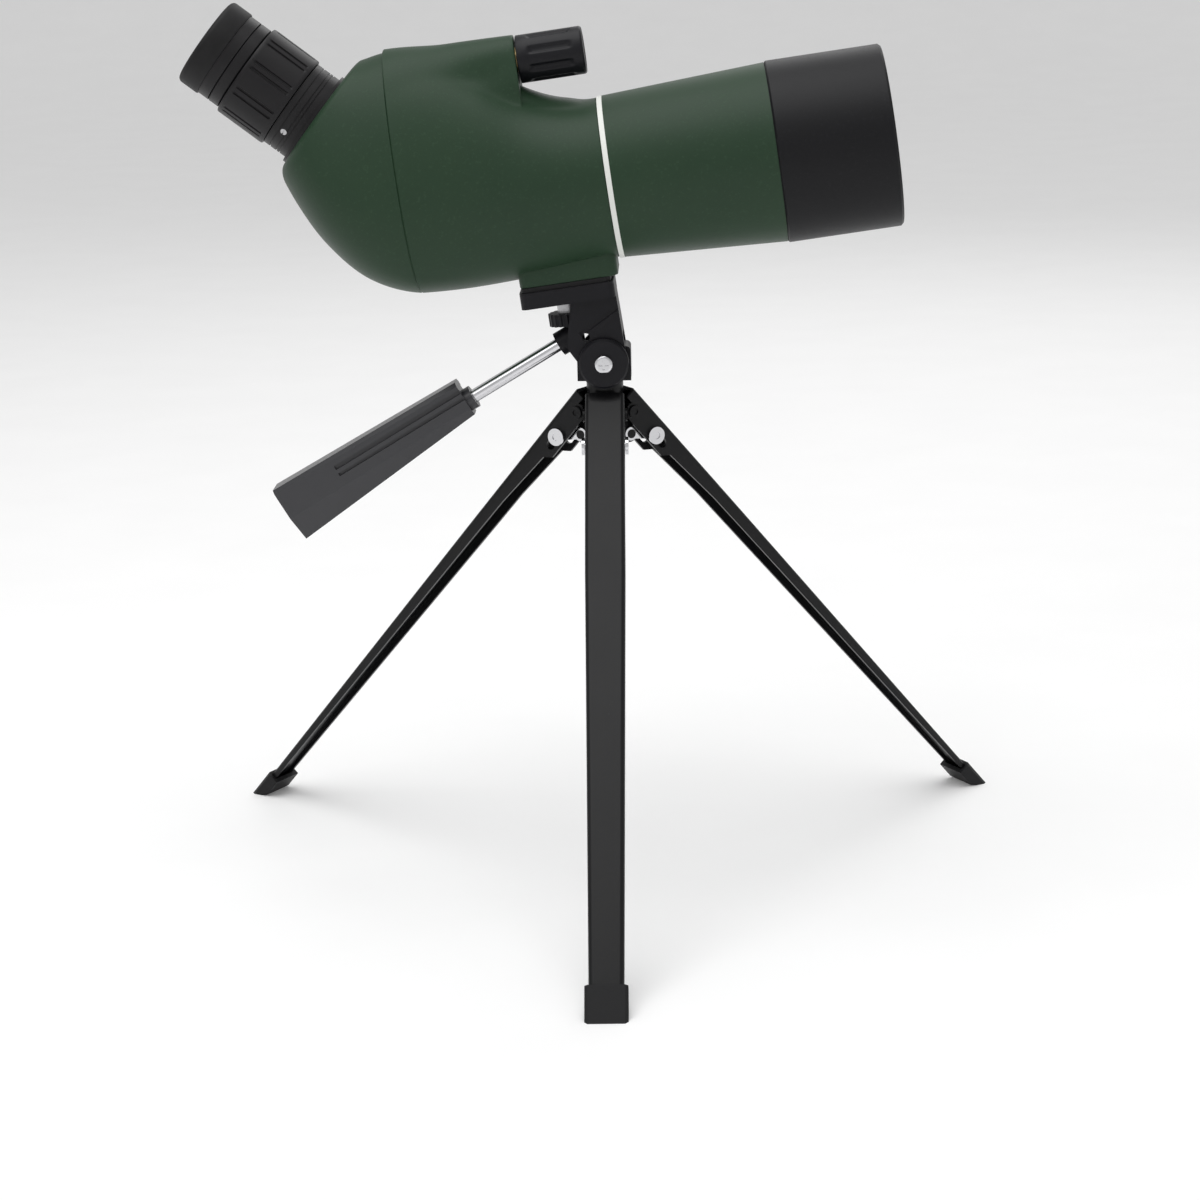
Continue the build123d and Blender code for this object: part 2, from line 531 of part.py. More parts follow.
ELBOW_ENDS = [  # at the seam and at the seat
    (HINGE_V - SEAM_TOP, HINGE_DOWN - SEAT_UP),
    (HINGE_V - SEAM_BOTTOM, HINGE_DOWN + SEAT_DOWN),
    (HINGE_V - waist(SEAM_TOP), HINGE_DOWN + SEAT_SAG),
    (SEAM_HALF, SEAT_SIDE),
]


def elbow_section(shares, inset):
    """One section of the bend, inset by a wall."""
    turn = radians(ELBOW * shares[0])
    sizes = [a + (b - a) * share for (a, b), share in zip(ELBOW_ENDS, shares[1:])]
    upper, lower, widest, half = sizes
    down = Vector(-sin(turn), 0, -cos(turn))
    origin = Vector(SEAM, 0, HINGE_V) + down * widest
    plane = Plane(origin=origin, x_dir=(0, 1, 0), z_dir=(cos(turn), 0, -sin(turn)))
    return oval_on(plane, widest - upper - inset, lower - widest - inset, half - inset)


eye_local = Location((EYE_U, 0, EYE_V), (0, -EYE_ANGLE, 0))
rear = loft([elbow_section(row, 0) for row in ELBOW_SHARES])
rear -= loft([elbow_section(row, WALL) for row in ELBOW_SHARES[:-1]])
rear -= eye_local * tube(SPIGOT_R, 0, -20, 2)
keep("rear_housing", rear, SCOPE)


def seam_ring(outer_inset, inner_inset, length, start):
    """Ring that follows the casting's section at the seam."""
    top, bottom, half = SEAM_TOP, SEAM_BOTTOM, SEAM_HALF
    big = oval(start, top - outer_inset, bottom + outer_inset, half - outer_inset, waist(top))
    small = oval(start, top - inner_inset, bottom + inner_inset, half - inner_inset, waist(top))
    return extrude(big - small, amount=length, dir=(1, 0, 0))


keep("seam_gasket", seam_ring(WALL + 0.5, WALL + 1.8, 2.4, SEAM - 0.8), SCOPE)
keep("accent_ring", ALONG * tube(RING_R, 24.2, -RING_T / 2, RING_T / 2), SCOPE)

# ================================================================ objective
HOOD_BACK = HOOD_FRONT - HOOD_LENGTH
SLEEVE_R = HOOD_R - HOOD_WALL - 0.35
CELL_FRONT = HOOD_FRONT - 7.6
TUBE_R = THROAT_R + 0.6
BARREL_FRONT_R = HOOD_R - 0.4
barrel = turned([
    (BARREL_BACK_R, RING_T / 2), (BARREL_FRONT_R, HOOD_BACK - 0.2),
    (SLEEVE_R + SEAT, HOOD_BACK - 0.2), (SLEEVE_R + SEAT, HOOD_BACK - 3.0),
    (BARREL_FRONT_R - 2.1, HOOD_BACK - 5.0), (BARREL_BACK_R - 1.8, RING_T / 2),
])
keep("objective_barrel", ALONG * barrel, SCOPE)
CELL_BACK = CELL_FRONT - RETAINER_T - 2 * LENS_RIM
tube_outline = [
    (TUBE_R, -RING_T / 2 + 0.0), (TUBE_R, HOOD_BACK - 9.0), (SLEEVE_R, HOOD_BACK - 3.0),
    (SLEEVE_R, CELL_FRONT), (LENS_R + SEAT, CELL_FRONT), (LENS_R + SEAT, CELL_BACK),
    (LENS_R - 1.4, CELL_BACK), (LENS_R - 1.4, CELL_BACK - 2.0), (SLEEVE_R - 1.6, CELL_BACK - 4.0),
    (SLEEVE_R - 1.6, HOOD_BACK - 1.0), (TUBE_R - 1.4, HOOD_BACK - 8.0), (TUBE_R - 1.4, -7.6),
    (TUBE_R - 0.7, -7.6), (TUBE_R - 0.7, -RING_T / 2),
]
keep("objective_tube", ALONG * turned(tube_outline), SCOPE)


LENS_FLAT = 1.5  # flat annulus that a lens is held by


def lens(radius, rim, back, front_bulge, back_bulge):
    """A lens on Z: rim thickness, back face height, and how far each face bulges out."""
    body = tube(radius, 0, back, back + rim)
    clear = radius - LENS_FLAT
    for height, bulge, sign in ((back + rim, front_bulge, 1), (back, back_bulge, -1)):
        if bulge == 0:
            continue
        sphere_r = (clear**2 + bulge**2) / (2 * abs(bulge))
        centre = bulge - sphere_r if bulge > 0 else bulge + sphere_r
        ball = Pos(0, 0, height + sign * centre) * Sphere(sphere_r)
        if bulge > 0:
            ends = sorted((height - sign * rim / 2, height + sign * 2 * bulge))
            body += ball & tube(clear + 0.01, 0, *ends)
        else:
            body -= ball
    return body


FLINT_BACK = CELL_BACK
CROWN_BACK = FLINT_BACK + LENS_RIM
keep("objective_flint", ALONG * lens(LENS_R - 0.05, LENS_RIM, FLINT_BACK, 0, -0.8), SCOPE)
keep("objective_crown", ALONG * lens(LENS_R - 0.05, LENS_RIM, CROWN_BACK, 1.8, 0), SCOPE)
keep("retaining_ring", ALONG * tube(LENS_R, LENS_R - 1.2, CELL_FRONT - RETAINER_T, CELL_FRONT), SCOPE)

hood = turned([
    (HOOD_R - 0.5, HOOD_BACK), (HOOD_R, HOOD_BACK + 0.5), (HOOD_R, HOOD_FRONT - 0.8),
    (HOOD_R - 0.8, HOOD_FRONT), (HOOD_R - HOOD_WALL - 0.4, HOOD_FRONT),
    (HOOD_R - HOOD_WALL, HOOD_FRONT - 0.4), (HOOD_R - HOOD_WALL, HOOD_BACK),
])
keep("sunshade_hood", ALONG * hood, SCOPE)
friction_z, FRICTION_WIDTH = CELL_FRONT - 4.0, 2.4
friction = tube(HOOD_R - HOOD_WALL - FIT, SLEEVE_R, friction_z - FRICTION_WIDTH, friction_z)
keep("hood_friction_ring", ALONG * friction, SCOPE)

# ================================================================ focus drive
knob = tube(KNOB_R, 0, TURRET + 0.5, TURRET + 0.5 + KNOB_LENGTH)
knob = fillet(knob.edges().filter_by(GeomType.CIRCLE).sort_by(Axis.Z)[-1], 0.9)
FLUTES, FLUTE_R, FLUTE_LENGTH = 8, 1.0, KNOB_LENGTH - 9
flute_mid = TURRET + 0.5 + KNOB_LENGTH / 2
flute = Pos(KNOB_R + 0.35, 0, flute_mid) * Cylinder(FLUTE_R, FLUTE_LENGTH)
for end in (-1, 1):
    flute += Pos(KNOB_R + 0.35, 0, flute_mid + end * FLUTE_LENGTH / 2) * Sphere(FLUTE_R)
for k in range(FLUTES):
    knob -= Rot(0, 0, 360 * (k + 0.5) / FLUTES) * flute
SHAFT_END = TURRET + 12
knob -= tube(SHAFT_R + SEAT, 0, TURRET, SHAFT_END + 0.2)
knob -= tube(KNOB_R - 1.8, SHAFT_R + 1.6, TURRET, TURRET + 9)
keep("focus_knob", knob, FOCUS)
CARRIAGE_U = -45.0
keep("focus_shaft", tube(SHAFT_R, 0, CARRIAGE_U - 12, SHAFT_END), FOCUS)
keep("focus_bush", tube(BUSH_R, SHAFT_R + FIT, TURRET - 3.4, TURRET + 0.2), FOCUS)
CELL_R, FOCUS_LENS_R = 17.0, 15.0
cell = Pos(CARRIAGE_U, 0, 0) * ALONG * tube(CELL_R, FOCUS_LENS_R + SEAT, -4, 4)
cell += Pos(CARRIAGE_U, 0, 0) * ALONG * tube(CELL_R, FOCUS_LENS_R - 1, -4, -2.6)
arm_up = block(CARRIAGE_U - 3, CARRIAGE_U + 3, -3, 3, CELL_R - 1, FOCUS_V)
arm_up += Pos(CARRIAGE_U, 0, FOCUS_V) * ALONG * tube(4.4, 0, -4, 4)
cell += arm_up
cell -= Pos(CARRIAGE_U, 0, FOCUS_V) * ALONG * tube(SHAFT_R + FIT, 0, -10, 10)
keep("focus_carriage", cell, SCOPE)
keep("focusing_lens", Pos(CARRIAGE_U, 0, 0) * ALONG * lens(FOCUS_LENS_R - 0.05, 2.0, -2.6, -0.8, 0), SCOPE)

# ================================================================ erecting prisms
CROSS_U = EYE_U + EYE_V / tan(radians(EYE_ANGLE))  # where the two axes meet
FACE = 11.5  # half the clear face of a prism
PRISM_HALF = 11.5
REACH = 17.0
diagonal = sqrt(0.5)
exit_u, exit_v = CROSS_U - REACH * diagonal, REACH * diagonal
entry_u = CROSS_U + 7.0
upper_corner = (exit_u + FACE * diagonal, exit_v + FACE * diagonal)
lower_corner = (exit_u - FACE * diagonal, exit_v - FACE * diagonal)
roof_side = [(entry_u - 10, -FACE), (CROSS_U - 6, FACE - 2), upper_corner, lower_corner, (exit_u, -FACE)]
roof = side_plate(roof_side, 2 * PRISM_HALF)
wedge_side = [(entry_u, -FACE), (entry_u, FACE), (CROSS_U - 5.6, FACE - 1.6), (entry_u - 9.6, -FACE)]
wedge = side_plate(wedge_side, 2 * PRISM_HALF)
keep("roof_prism", roof, SCOPE)
keep("entry_prism", wedge - roof, SCOPE)
cheek_side = [(entry_u, -FACE - 2), (entry_u, FACE + 2), upper_corner, lower_corner, (exit_u, -FACE - 2)]
cheek = side_plate(cheek_side, 1.6)
holder = block(exit_u, entry_u, -PRISM_HALF - 1.7, PRISM_HALF + 1.7, -FACE - 3.2, -FACE - 0.02)
for side in (-1, 1):
    holder += Pos(0, side * (PRISM_HALF + 0.9), 0) * cheek
post_v = -26.9
for u in (entry_u - 2.5, entry_u - 8.0):
    holder += Pos(u, 0, (post_v - FACE - 2) / 2) * Cylinder(3.0, -post_v - FACE - 2)
keep("prism_holder", holder, SCOPE)

# ================================================================ eyepiece
Z_COLLAR, Z_ZOOM = FLANGE_T, FLANGE_T + FIXED_T
Z_TWIST = Z_ZOOM + ZOOM_LENGTH + 0.4
Z_CUP = Z_TWIST + TWIST_T
Z_END = Z_CUP + CUP_LENGTH
TUBE_TOP = Z_CUP + 6.6
keep("eyepiece_flange", tube(FLANGE_R, EYE_TUBE_R + SEAT, 0, FLANGE_T), EYE)
eye_tube = tube(EYE_TUBE_R, EYE_BORE_R + FIT, 0, TUBE_TOP)
eye_tube += tube(SPIGOT_R - SEAT, EYE_BORE_R + FIT, -SPIGOT_LENGTH, 0)
keep("eyepiece_tube", eye_tube, EYE)
collar = tube(FIXED_R, EYE_TUBE_R + SEAT, Z_COLLAR, Z_ZOOM)
for height in (2.3, 3.5, 6.0):
    collar -= tube(FIXED_R + 1, FIXED_R - 0.35, Z_COLLAR + height, Z_COLLAR + height + 0.5)
SET_U = Z_COLLAR + 4.7
SET_R = 1.1
set_hole = Rot(0, 0, -118) * Pos(FIXED_R, 0, SET_U) * Rot(0, 90, 0)
collar -= set_hole * Cylinder(SET_R + SEAT, 3.6)
keep("eyepiece_collar", collar, EYE)
set_screw = Cylinder(SET_R, 1.6) - Pos(0, 0, 0.8) * Box(0.4, 3, 0.7)
keep("collar_set_screw", set_hole * Pos(0, 0, -0.9) * set_screw, EYE)

zoom = tube(ZOOM_R, EYE_TUBE_R + FIT, Z_ZOOM + 0.2, Z_ZOOM + 0.2 + ZOOM_LENGTH)
rims = zoom.edges().filter_by(GeomType.CIRCLE)
zoom = chamfer([e for e in rims if e.radius > ZOOM_R - 0.1], 0.5)
PADS = 10
for k in range(PADS):
    for turn in (-4.2, 4.2):
        slit = Rot(0, 0, 360 * k / PADS + turn) * Pos(ZOOM_R, 0, Z_ZOOM + 0.2 + ZOOM_LENGTH / 2)
        zoom -= slit * Box(1.1, 0.9, ZOOM_LENGTH - 3.4)
keep("zoom_ring", zoom, EYE)
ZOOM_CELLS = {"lower": 6.0, "upper": 22.0}
for name, height in ZOOM_CELLS.items():
    cell = tube(EYE_BORE_R, EYE_LENS_R + SEAT, height - 2.6, height + 2.6)
    cell += tube(EYE_BORE_R, EYE_LENS_R - 1, height - 2.6, height - 1.6)
    keep("zoom_cell_" + name, cell, EYE)
    keep("zoom_lens_" + name, lens(EYE_LENS_R - 0.05, 1.6, height - 1.6, 0.9, 0), EYE)
CUP_TRAVEL = 6.0
twist = tube(TWIST_R, EYE_TUBE_R + FIT, Z_TWIST, Z_CUP - 0.1)
twist = chamfer([e for e in twist.edges().filter_by(GeomType.CIRCLE) if e.radius > TWIST_R - 0.1], 0.4)
keep("eyecup_twist_ring", twist, EYE)
NECK_T = 3.8
CUP_BORE = EYE_TUBE_R + 0.25
LENS_SEAT = TUBE_TOP - 3.4
eye_cell = tube(EYE_BORE_R, EYE_LENS_R + SEAT, Z_CUP + 0.6, TUBE_TOP)
eye_cell += tube(EYE_BORE_R, EYE_LENS_R - 1, Z_CUP + 0.6, LENS_SEAT)
keep("eye_lens_cell", eye_cell, EYE)
keep("eye_lens", lens(EYE_LENS_R - 0.05, 1.8, LENS_SEAT, 0.9, 0), EYE)
keep("eyecup_sleeve", tube(TWIST_R, EYE_TUBE_R + FIT, Z_CUP, Z_CUP + NECK_T), EYE)
CUP_LIP = 2.4
cup = turned([
    (CUP_BORE, Z_CUP + NECK_T), (CUP_R - 0.4, Z_CUP + NECK_T), (CUP_R, Z_CUP + NECK_T + 0.5),
    (CUP_R, Z_END - 0.9), (CUP_R - 0.9, Z_END), (CUP_R - 2.4, Z_END),
    (CUP_BORE - 0.7, Z_END - 0.9), (CUP_BORE, Z_END - CUP_LIP),
])
keep("eyecup_rubber", cup, EYE)

# ================================================================ write the pieces
whole = Compound([p for shape in PARTS.values() for p in shape.solids()])
box = whole.bounding_box()
SHIFT = (-(box.min.X + box.max.X) / 2, -(box.min.Y + box.max.Y) / 2, -box.min.Z)
if __name__ == "__main__":
    for name, shape in PARTS.items():
        export_step(Pos(*SHIFT) * Compound(shape.solids()), "parts/" + name + ".step")
    print("pieces", len(PARTS), "box", box.size, "shift", SHIFT)
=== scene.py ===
"""Spotting scope on a folding table-top tripod: the looks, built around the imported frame."""

import json
import logging
import math
from collections.abc import Callable, Sequence
from dataclasses import dataclass
from enum import Enum

import bpy
from mathutils import Matrix, Vector


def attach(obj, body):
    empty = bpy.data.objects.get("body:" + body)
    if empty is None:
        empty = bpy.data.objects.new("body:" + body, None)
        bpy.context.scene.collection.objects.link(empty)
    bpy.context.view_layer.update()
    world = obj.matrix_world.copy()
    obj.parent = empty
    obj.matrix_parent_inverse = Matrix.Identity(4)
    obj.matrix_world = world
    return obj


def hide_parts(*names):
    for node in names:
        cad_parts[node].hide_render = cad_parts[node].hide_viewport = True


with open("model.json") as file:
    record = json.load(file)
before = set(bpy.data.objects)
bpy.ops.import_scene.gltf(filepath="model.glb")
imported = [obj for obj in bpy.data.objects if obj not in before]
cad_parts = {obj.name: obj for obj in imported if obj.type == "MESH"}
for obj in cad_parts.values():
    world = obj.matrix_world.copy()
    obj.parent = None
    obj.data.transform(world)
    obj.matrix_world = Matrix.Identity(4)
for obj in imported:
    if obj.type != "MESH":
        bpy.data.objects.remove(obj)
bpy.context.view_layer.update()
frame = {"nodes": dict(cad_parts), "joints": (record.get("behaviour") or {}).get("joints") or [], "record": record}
LOG = logging.getLogger("spotting_scope")
MM = 0.001

# Places on the scope, in millimetres along its axis and above it, from the middle of the pale ring.
HOOD_MIDDLE = 74.25
SEAM = -68.0
MOUNT_PLACE = -20.5
FOCUS_HEIGHT = 42.5
EYE_PLACE, EYE_HEIGHT = -94.05, 32.7
EYE_LEAN = math.radians(45)


# ------------------------------------------------------------------ shader expressions
class Value:
    """A shader socket that can be used in Python arithmetic."""

    def __init__(self, graph: "Graph", socket: bpy.types.NodeSocket) -> None:
        """Keeps the socket and the graph that it belongs to."""
        self.graph = graph
        self.socket = socket

    def _math(self, operation: str, *others: "Value | float") -> "Value":
        """Adds a Math node.

        Args:
            operation: the Math node's operation.
            others: what joins this value, as values or numbers.

        Returns:
            The node's result.
        """
        return self.graph.node("ShaderNodeMath", {"operation": operation}, [self, *others])

    def __add__(self, other: "Value | float") -> "Value":
        """Sum."""
        return self._math("ADD", other)

    __radd__ = __add__

    def __sub__(self, other: "Value | float") -> "Value":
        """Difference."""
        return self._math("SUBTRACT", other)

    def __mul__(self, other: "Value | float") -> "Value":
        """Product."""
        return self._math("MULTIPLY", other)

    __rmul__ = __mul__

    def __truediv__(self, other: "Value | float") -> "Value":
        """Quotient."""
        return self._math("DIVIDE", other)

    def clamp(self) -> "Value":
        """Held between nought and one."""
        return self._math("MAXIMUM", 0.0)._math("MINIMUM", 1.0)

    def above(self, edge: float, soft: float) -> "Value":
        """A step from nought to one as the value passes an edge.

        Args:
            edge: where the step is half done.
            soft: the width of the step.

        Returns:
            The step.
        """
        return ((self - (edge - soft / 2)) / soft).clamp()


class Graph:
    """The node tree of one finish."""

    def __init__(self, name: str) -> None:
        """Starts a material with one Principled shader."""
        self.material = bpy.data.materials.new(name)
        self.material.use_nodes = True
        self.tree = self.material.node_tree
        self.shader = self.tree.nodes["Principled BSDF"]

    def node(
        self,
        kind: str,
        settings: dict[str, object] | None = None,
        inputs: Sequence["Value | float | tuple[float, ...]"] | dict[str, object] = (),
        output: int | str = 0,
    ) -> Value:
        """Adds a node.

        Args:
            kind: the node's type.
            settings: properties, set before the inputs.
            inputs: values or links of its sockets, in order or by name.
            output: which output is wanted.

        Returns:
            That output.
        """
        made = self.tree.nodes.new(kind)
        for key, setting in (settings or {}).items():
            setattr(made, key, setting)
        pairs = inputs.items() if isinstance(inputs, dict) else enumerate(inputs)
        for key, given in pairs:
            self.feed(made.inputs[key], given)
        return Value(self, made.outputs[output])

    def feed(self, socket: bpy.types.NodeSocket, given: object) -> None:
        """Links a value to a socket, or sets the socket's own number."""
        if isinstance(given, Value):
            self.tree.links.new(given.socket, socket)
        elif isinstance(given, tuple) and len(given) == 3 and socket.type == "RGBA":
            socket.default_value = (*given, 1.0)
        else:
            socket.default_value = given

    def set(self, **sockets: object) -> None:
        """Feeds the Principled shader, with spaces written as underscores."""
        for name, given in sockets.items():
            self.feed(self.shader.inputs[name.replace("_", " ")], given)

    def place(self) -> Value:
        """Object coordinates, in metres in the frame."""
        return self.node("ShaderNodeTexCoord", output="Object")

    def noise(
        self,
        scale: float,
        detail: float = 3.0,
        rough: float = 0.55,
        stretch: tuple[float, float, float] | None = None,
    ) -> Value:
        """Noise over the object.

        Args:
            scale: cells per metre.
            detail: octaves.
            rough: how much the finer octaves count.
            stretch: scale along each axis, for brushed or drawn marks.

        Returns:
            The noise, about a half.
        """
        where = self.place()
        if stretch is not None:
            where = self.node("ShaderNodeMapping", {}, {"Vector": where, "Scale": stretch})
        return self.node(
            "ShaderNodeTexNoise", {}, {"Vector": where, "Scale": scale, "Detail": detail, "Roughness": rough}
        )

    def mix(self, share: Value, low: object, high: object) -> Value:
        """Blends two colours by a share."""
        return self.node(
            "ShaderNodeMix", {"data_type": "RGBA"}, {"Factor": share, 6: low, 7: high}, output=2
        )

    def bump(self, height: Value, distance: float, strength: float = 1.0) -> Value:
        """A normal raised by a height, in metres."""
        return self.node(
            "ShaderNodeBump", {}, {"Strength": strength, "Distance": distance, "Height": height}
        )


# ------------------------------------------------------------------ finishes
@dataclass(frozen=True)
class Coating:
    """Soft-touch paint over a moulded or cast body: fine pebble, uneven sheen, pale specks of dust."""

    name: str
    colour: tuple[float, float, float]
    deep: tuple[float, float, float]
    roughness: float = 0.46
    grain: float = 2400.0
    depth: float = 0.00006

    def build(self) -> bpy.types.Material:
        """Makes the material."""
        g = Graph(self.name)
        cloud = g.noise(38.0, 4.0, 0.6)
        pebble = g.noise(self.grain, 2.0, 0.5)
        speck = g.noise(self.grain * 0.45, 1.0).above(0.66, 0.12)
        tone = g.mix((cloud * 0.75 + pebble * 0.25).clamp(), self.deep, self.colour)
        dusty = g.mix(speck * 0.10, tone, tuple(min(1.0, c * 2.2 + 0.02) for c in self.colour))
        g.set(
            Base_Color=dusty,
            Roughness=(self.roughness - 0.05 + cloud * 0.10 + speck * 0.06).clamp(),
            Normal=g.bump(pebble, self.depth, 0.35),
            Specular_IOR_Level=0.22,
        )
        return g.material


@dataclass(frozen=True)
class Rubber:
    """Soft matt rubber with a slight bloom."""

    name: str
    colour: tuple[float, float, float] = (0.0085, 0.0082, 0.0088)
    roughness: float = 0.58

    def build(self) -> bpy.types.Material:
        """Makes the material."""
        g = Graph(self.name)
        bloom = g.noise(60.0, 5.0, 0.65)
        tooth = g.noise(3200.0, 2.0)
        pale = tuple(c * 2.3 + 0.01 for c in self.colour)
        g.set(
            Base_Color=g.mix(bloom.above(0.55, 0.5) * 0.5, self.colour, pale),
            Roughness=(self.roughness + bloom * 0.14 - 0.07).clamp(),
            Normal=g.bump(tooth, 0.00005, 0.4),
            Specular_IOR_Level=0.22,
        )
        return g.material


@dataclass(frozen=True)
class GlossPaint:
    """Stoved black paint on pressed steel: orange peel, dust and a few rubbed spots."""

    name: str
    colour: tuple[float, float, float] = (0.0040, 0.0040, 0.0045)
    roughness: float = 0.30

    def build(self) -> bpy.types.Material:
        """Makes the material."""
        g = Graph(self.name)
        peel = g.noise(620.0, 2.0, 0.4)
        smear = g.noise(45.0, 4.0, 0.6)
        scuff = g.noise(240.0, 6.0, 0.75, (1.0, 1.0, 0.25)).above(0.70, 0.05)
        base = g.mix(smear, self.colour, tuple(c * 1.6 for c in self.colour))
        g.set(
            Base_Color=g.mix(scuff * 0.22, base, (0.06, 0.06, 0.062)),
            Roughness=(self.roughness + smear * 0.12 + scuff * 0.18).clamp(),
            Normal=g.bump(peel, 0.00007, 0.35),
            Specular_IOR_Level=0.2,
            Coat_Weight=0.06,
            Coat_Roughness=0.12,
        )
        return g.material


@dataclass(frozen=True)
class Plastic:
    """Moulded black plastic with a spark-eroded grain."""

    name: str
    colour: tuple[float, float, float] = (0.017, 0.017, 0.02)
    roughness: float = 0.42
    grain: float = 1900.0
    depth: float = 0.00006

    def build(self) -> bpy.types.Material:
        """Makes the material."""
        g = Graph(self.name)
        erosion = g.noise(self.grain, 3.0, 0.6)
        flow = g.noise(70.0, 3.0, 0.5)
        g.set(
            Base_Color=g.mix(flow, self.colour, tuple(c * 1.5 + 0.002 for c in self.colour)),
            Roughness=(self.roughness + flow * 0.12 + erosion * 0.06 - 0.08).clamp(),
            Normal=g.bump(erosion, self.depth, 0.4),
            Specular_IOR_Level=0.22,
        )
        return g.material


@dataclass(frozen=True)
class Metal:
    """Bare, plated or anodised metal with lathe or draw marks and smudges."""

    name: str
    colour: tuple[float, float, float]
    roughness: float = 0.12
    marks: float = 0.25
    metallic: float = 1.0

    def build(self) -> bpy.types.Material:
        """Makes the material."""
        g = Graph(self.name)
        smudge = g.noise(150.0, 4.0, 0.6)
        line = g.noise(2600.0, 2.0, 0.5)
        g.set(
            Base_Color=g.mix(smudge * 0.3, self.colour, tuple(c * 0.72 for c in self.colour)),
            Metallic=self.metallic,
            Roughness=(self.roughness + smudge * self.marks * 0.5 + line * self.marks * 0.25).clamp(),
            Normal=g.bump(line, 0.00003, self.marks),
        )
        return g.material


@dataclass(frozen=True)
class CoatedGlass:
    """Lens glass with a pale green tint, and a painted coating reflection: a darker teal colour where it is seen
    edge-on.
    """

    name: str
    colour: tuple[float, float, float] = (0.55, 0.72, 0.66)
    # Painted reflection colour: the darker teal that the glass takes where it is seen edge-on.
    bloom: tuple[float, float, float] = (0.10, 0.30, 0.26)

    def build(self) -> bpy.types.Material:
        """Makes the material."""
        g = Graph(self.name)
        haze = g.noise(90.0, 3.0, 0.5)
        # Painted reflection: the colour turns from the pale green tint to a darker teal as the glass is seen more
        # edge-on, standing in for the coating's coloured reflection.
        edge = g.node("ShaderNodeLayerWeight", {}, {"Blend": 0.35}, output="Facing")
        g.set(
            Base_Color=g.mix(edge.clamp(), self.colour, self.bloom),
            Roughness=(haze * 0.05 + 0.02).clamp(),
            Transmission_Weight=0.92,
            IOR=1.52,
            Coat_Weight=0.6,
            Coat_Roughness=0.02,
        )
        return g.material


class Finish(Enum):
    """Every finish on the scope and its tripod."""

    GREEN = Coating("green_soft_coat", (0.0215, 0.0490, 0.0245), (0.0150, 0.0360, 0.0190), 0.46)
    HOOD = Coating("black_soft_coat", (0.0060, 0.0060, 0.0074), (0.0038, 0.0038, 0.0050), 0.48)
    ACCENT = Coating("accent_paint", (0.80, 0.82, 0.78), (0.70, 0.71, 0.67), 0.38, 3000.0, 0.00002)
    EYEPIECE = Plastic("eyepiece_plastic", (0.0085, 0.0080, 0.0088), 0.42)
    KNOB = Plastic("knob_plastic", (0.0048, 0.0048, 0.0064), 0.40, 2200.0)
    HEAD = Plastic("head_nylon", (0.0045, 0.0043, 0.0060), 0.42, 1500.0, 0.00006)
    GRIP = Plastic("grip_plastic", (0.0085, 0.0087, 0.0102), 0.22, 2600.0, 0.00003)
    SHOE = Plastic("shoe_plastic", (0.0055, 0.0055, 0.0062), 0.48, 1300.0, 0.00007)
    NYLON = Plastic("natural_nylon", (0.62, 0.61, 0.56), 0.45, 1200.0, 0.00004)
    CUP = Rubber("eyecup_rubber_finish")
    PAD = Rubber("pad_rubber_finish", (0.017, 0.017, 0.018), 0.7)
    SEAL = Rubber("seal_rubber_finish", (0.02, 0.02, 0.02), 0.55)
    PAINT = GlossPaint("stoved_black_paint")
    CHROME = Metal("bright_plating", (0.70, 0.70, 0.72), 0.07, 0.14)
    STEEL = Metal("turned_steel", (0.48, 0.48, 0.49), 0.26, 0.3)
    BRASS = Metal("turned_brass", (0.66, 0.50, 0.24), 0.24, 0.3)
    ANODISED = Metal("black_anodised", (0.028, 0.028, 0.032), 0.38, 0.25, 0.6)
    GLASS = CoatedGlass("coated_lens_glass")

    def material(self) -> bpy.types.Material:
        """The finish's material, made once."""
        found = bpy.data.materials.get(self.value.name)
        return found or self.value.build()


SLOT_FINISH: dict[str, Finish] = {
    "green_armour": Finish.GREEN,
    "black_armour": Finish.HOOD,
    "accent_white": Finish.ACCENT,
    "eyepiece_black": Finish.EYEPIECE,
    "knob_black": Finish.KNOB,
    "cup_rubber": Finish.CUP,
    "seal_rubber": Finish.SEAL,
    "leg_paint": Finish.PAINT,
    "foot_plastic": Finish.SHOE,
    "head_plastic": Finish.HEAD,
    "grip_plastic": Finish.GRIP,
    "bright_chrome": Finish.CHROME,
    "plain_steel": Finish.STEEL,
    "brass": Finish.BRASS,
    "nylon_white": Finish.NYLON,
    "anodised_black": Finish.ANODISED,
    "coated_glass": Finish.GLASS,
}


def dress(piece: bpy.types.Object, finish: Finish) -> None:
    """Gives a piece one finish all over."""
    piece.data.materials.clear()
    piece.data.materials.append(finish.material())


def dress_frame() -> None:
    """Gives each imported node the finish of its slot."""
    for row in frame["record"]["subparts"]:
        node = frame["nodes"][row["node"]]
        dress(node, SLOT_FINISH[row["material_slot"]])


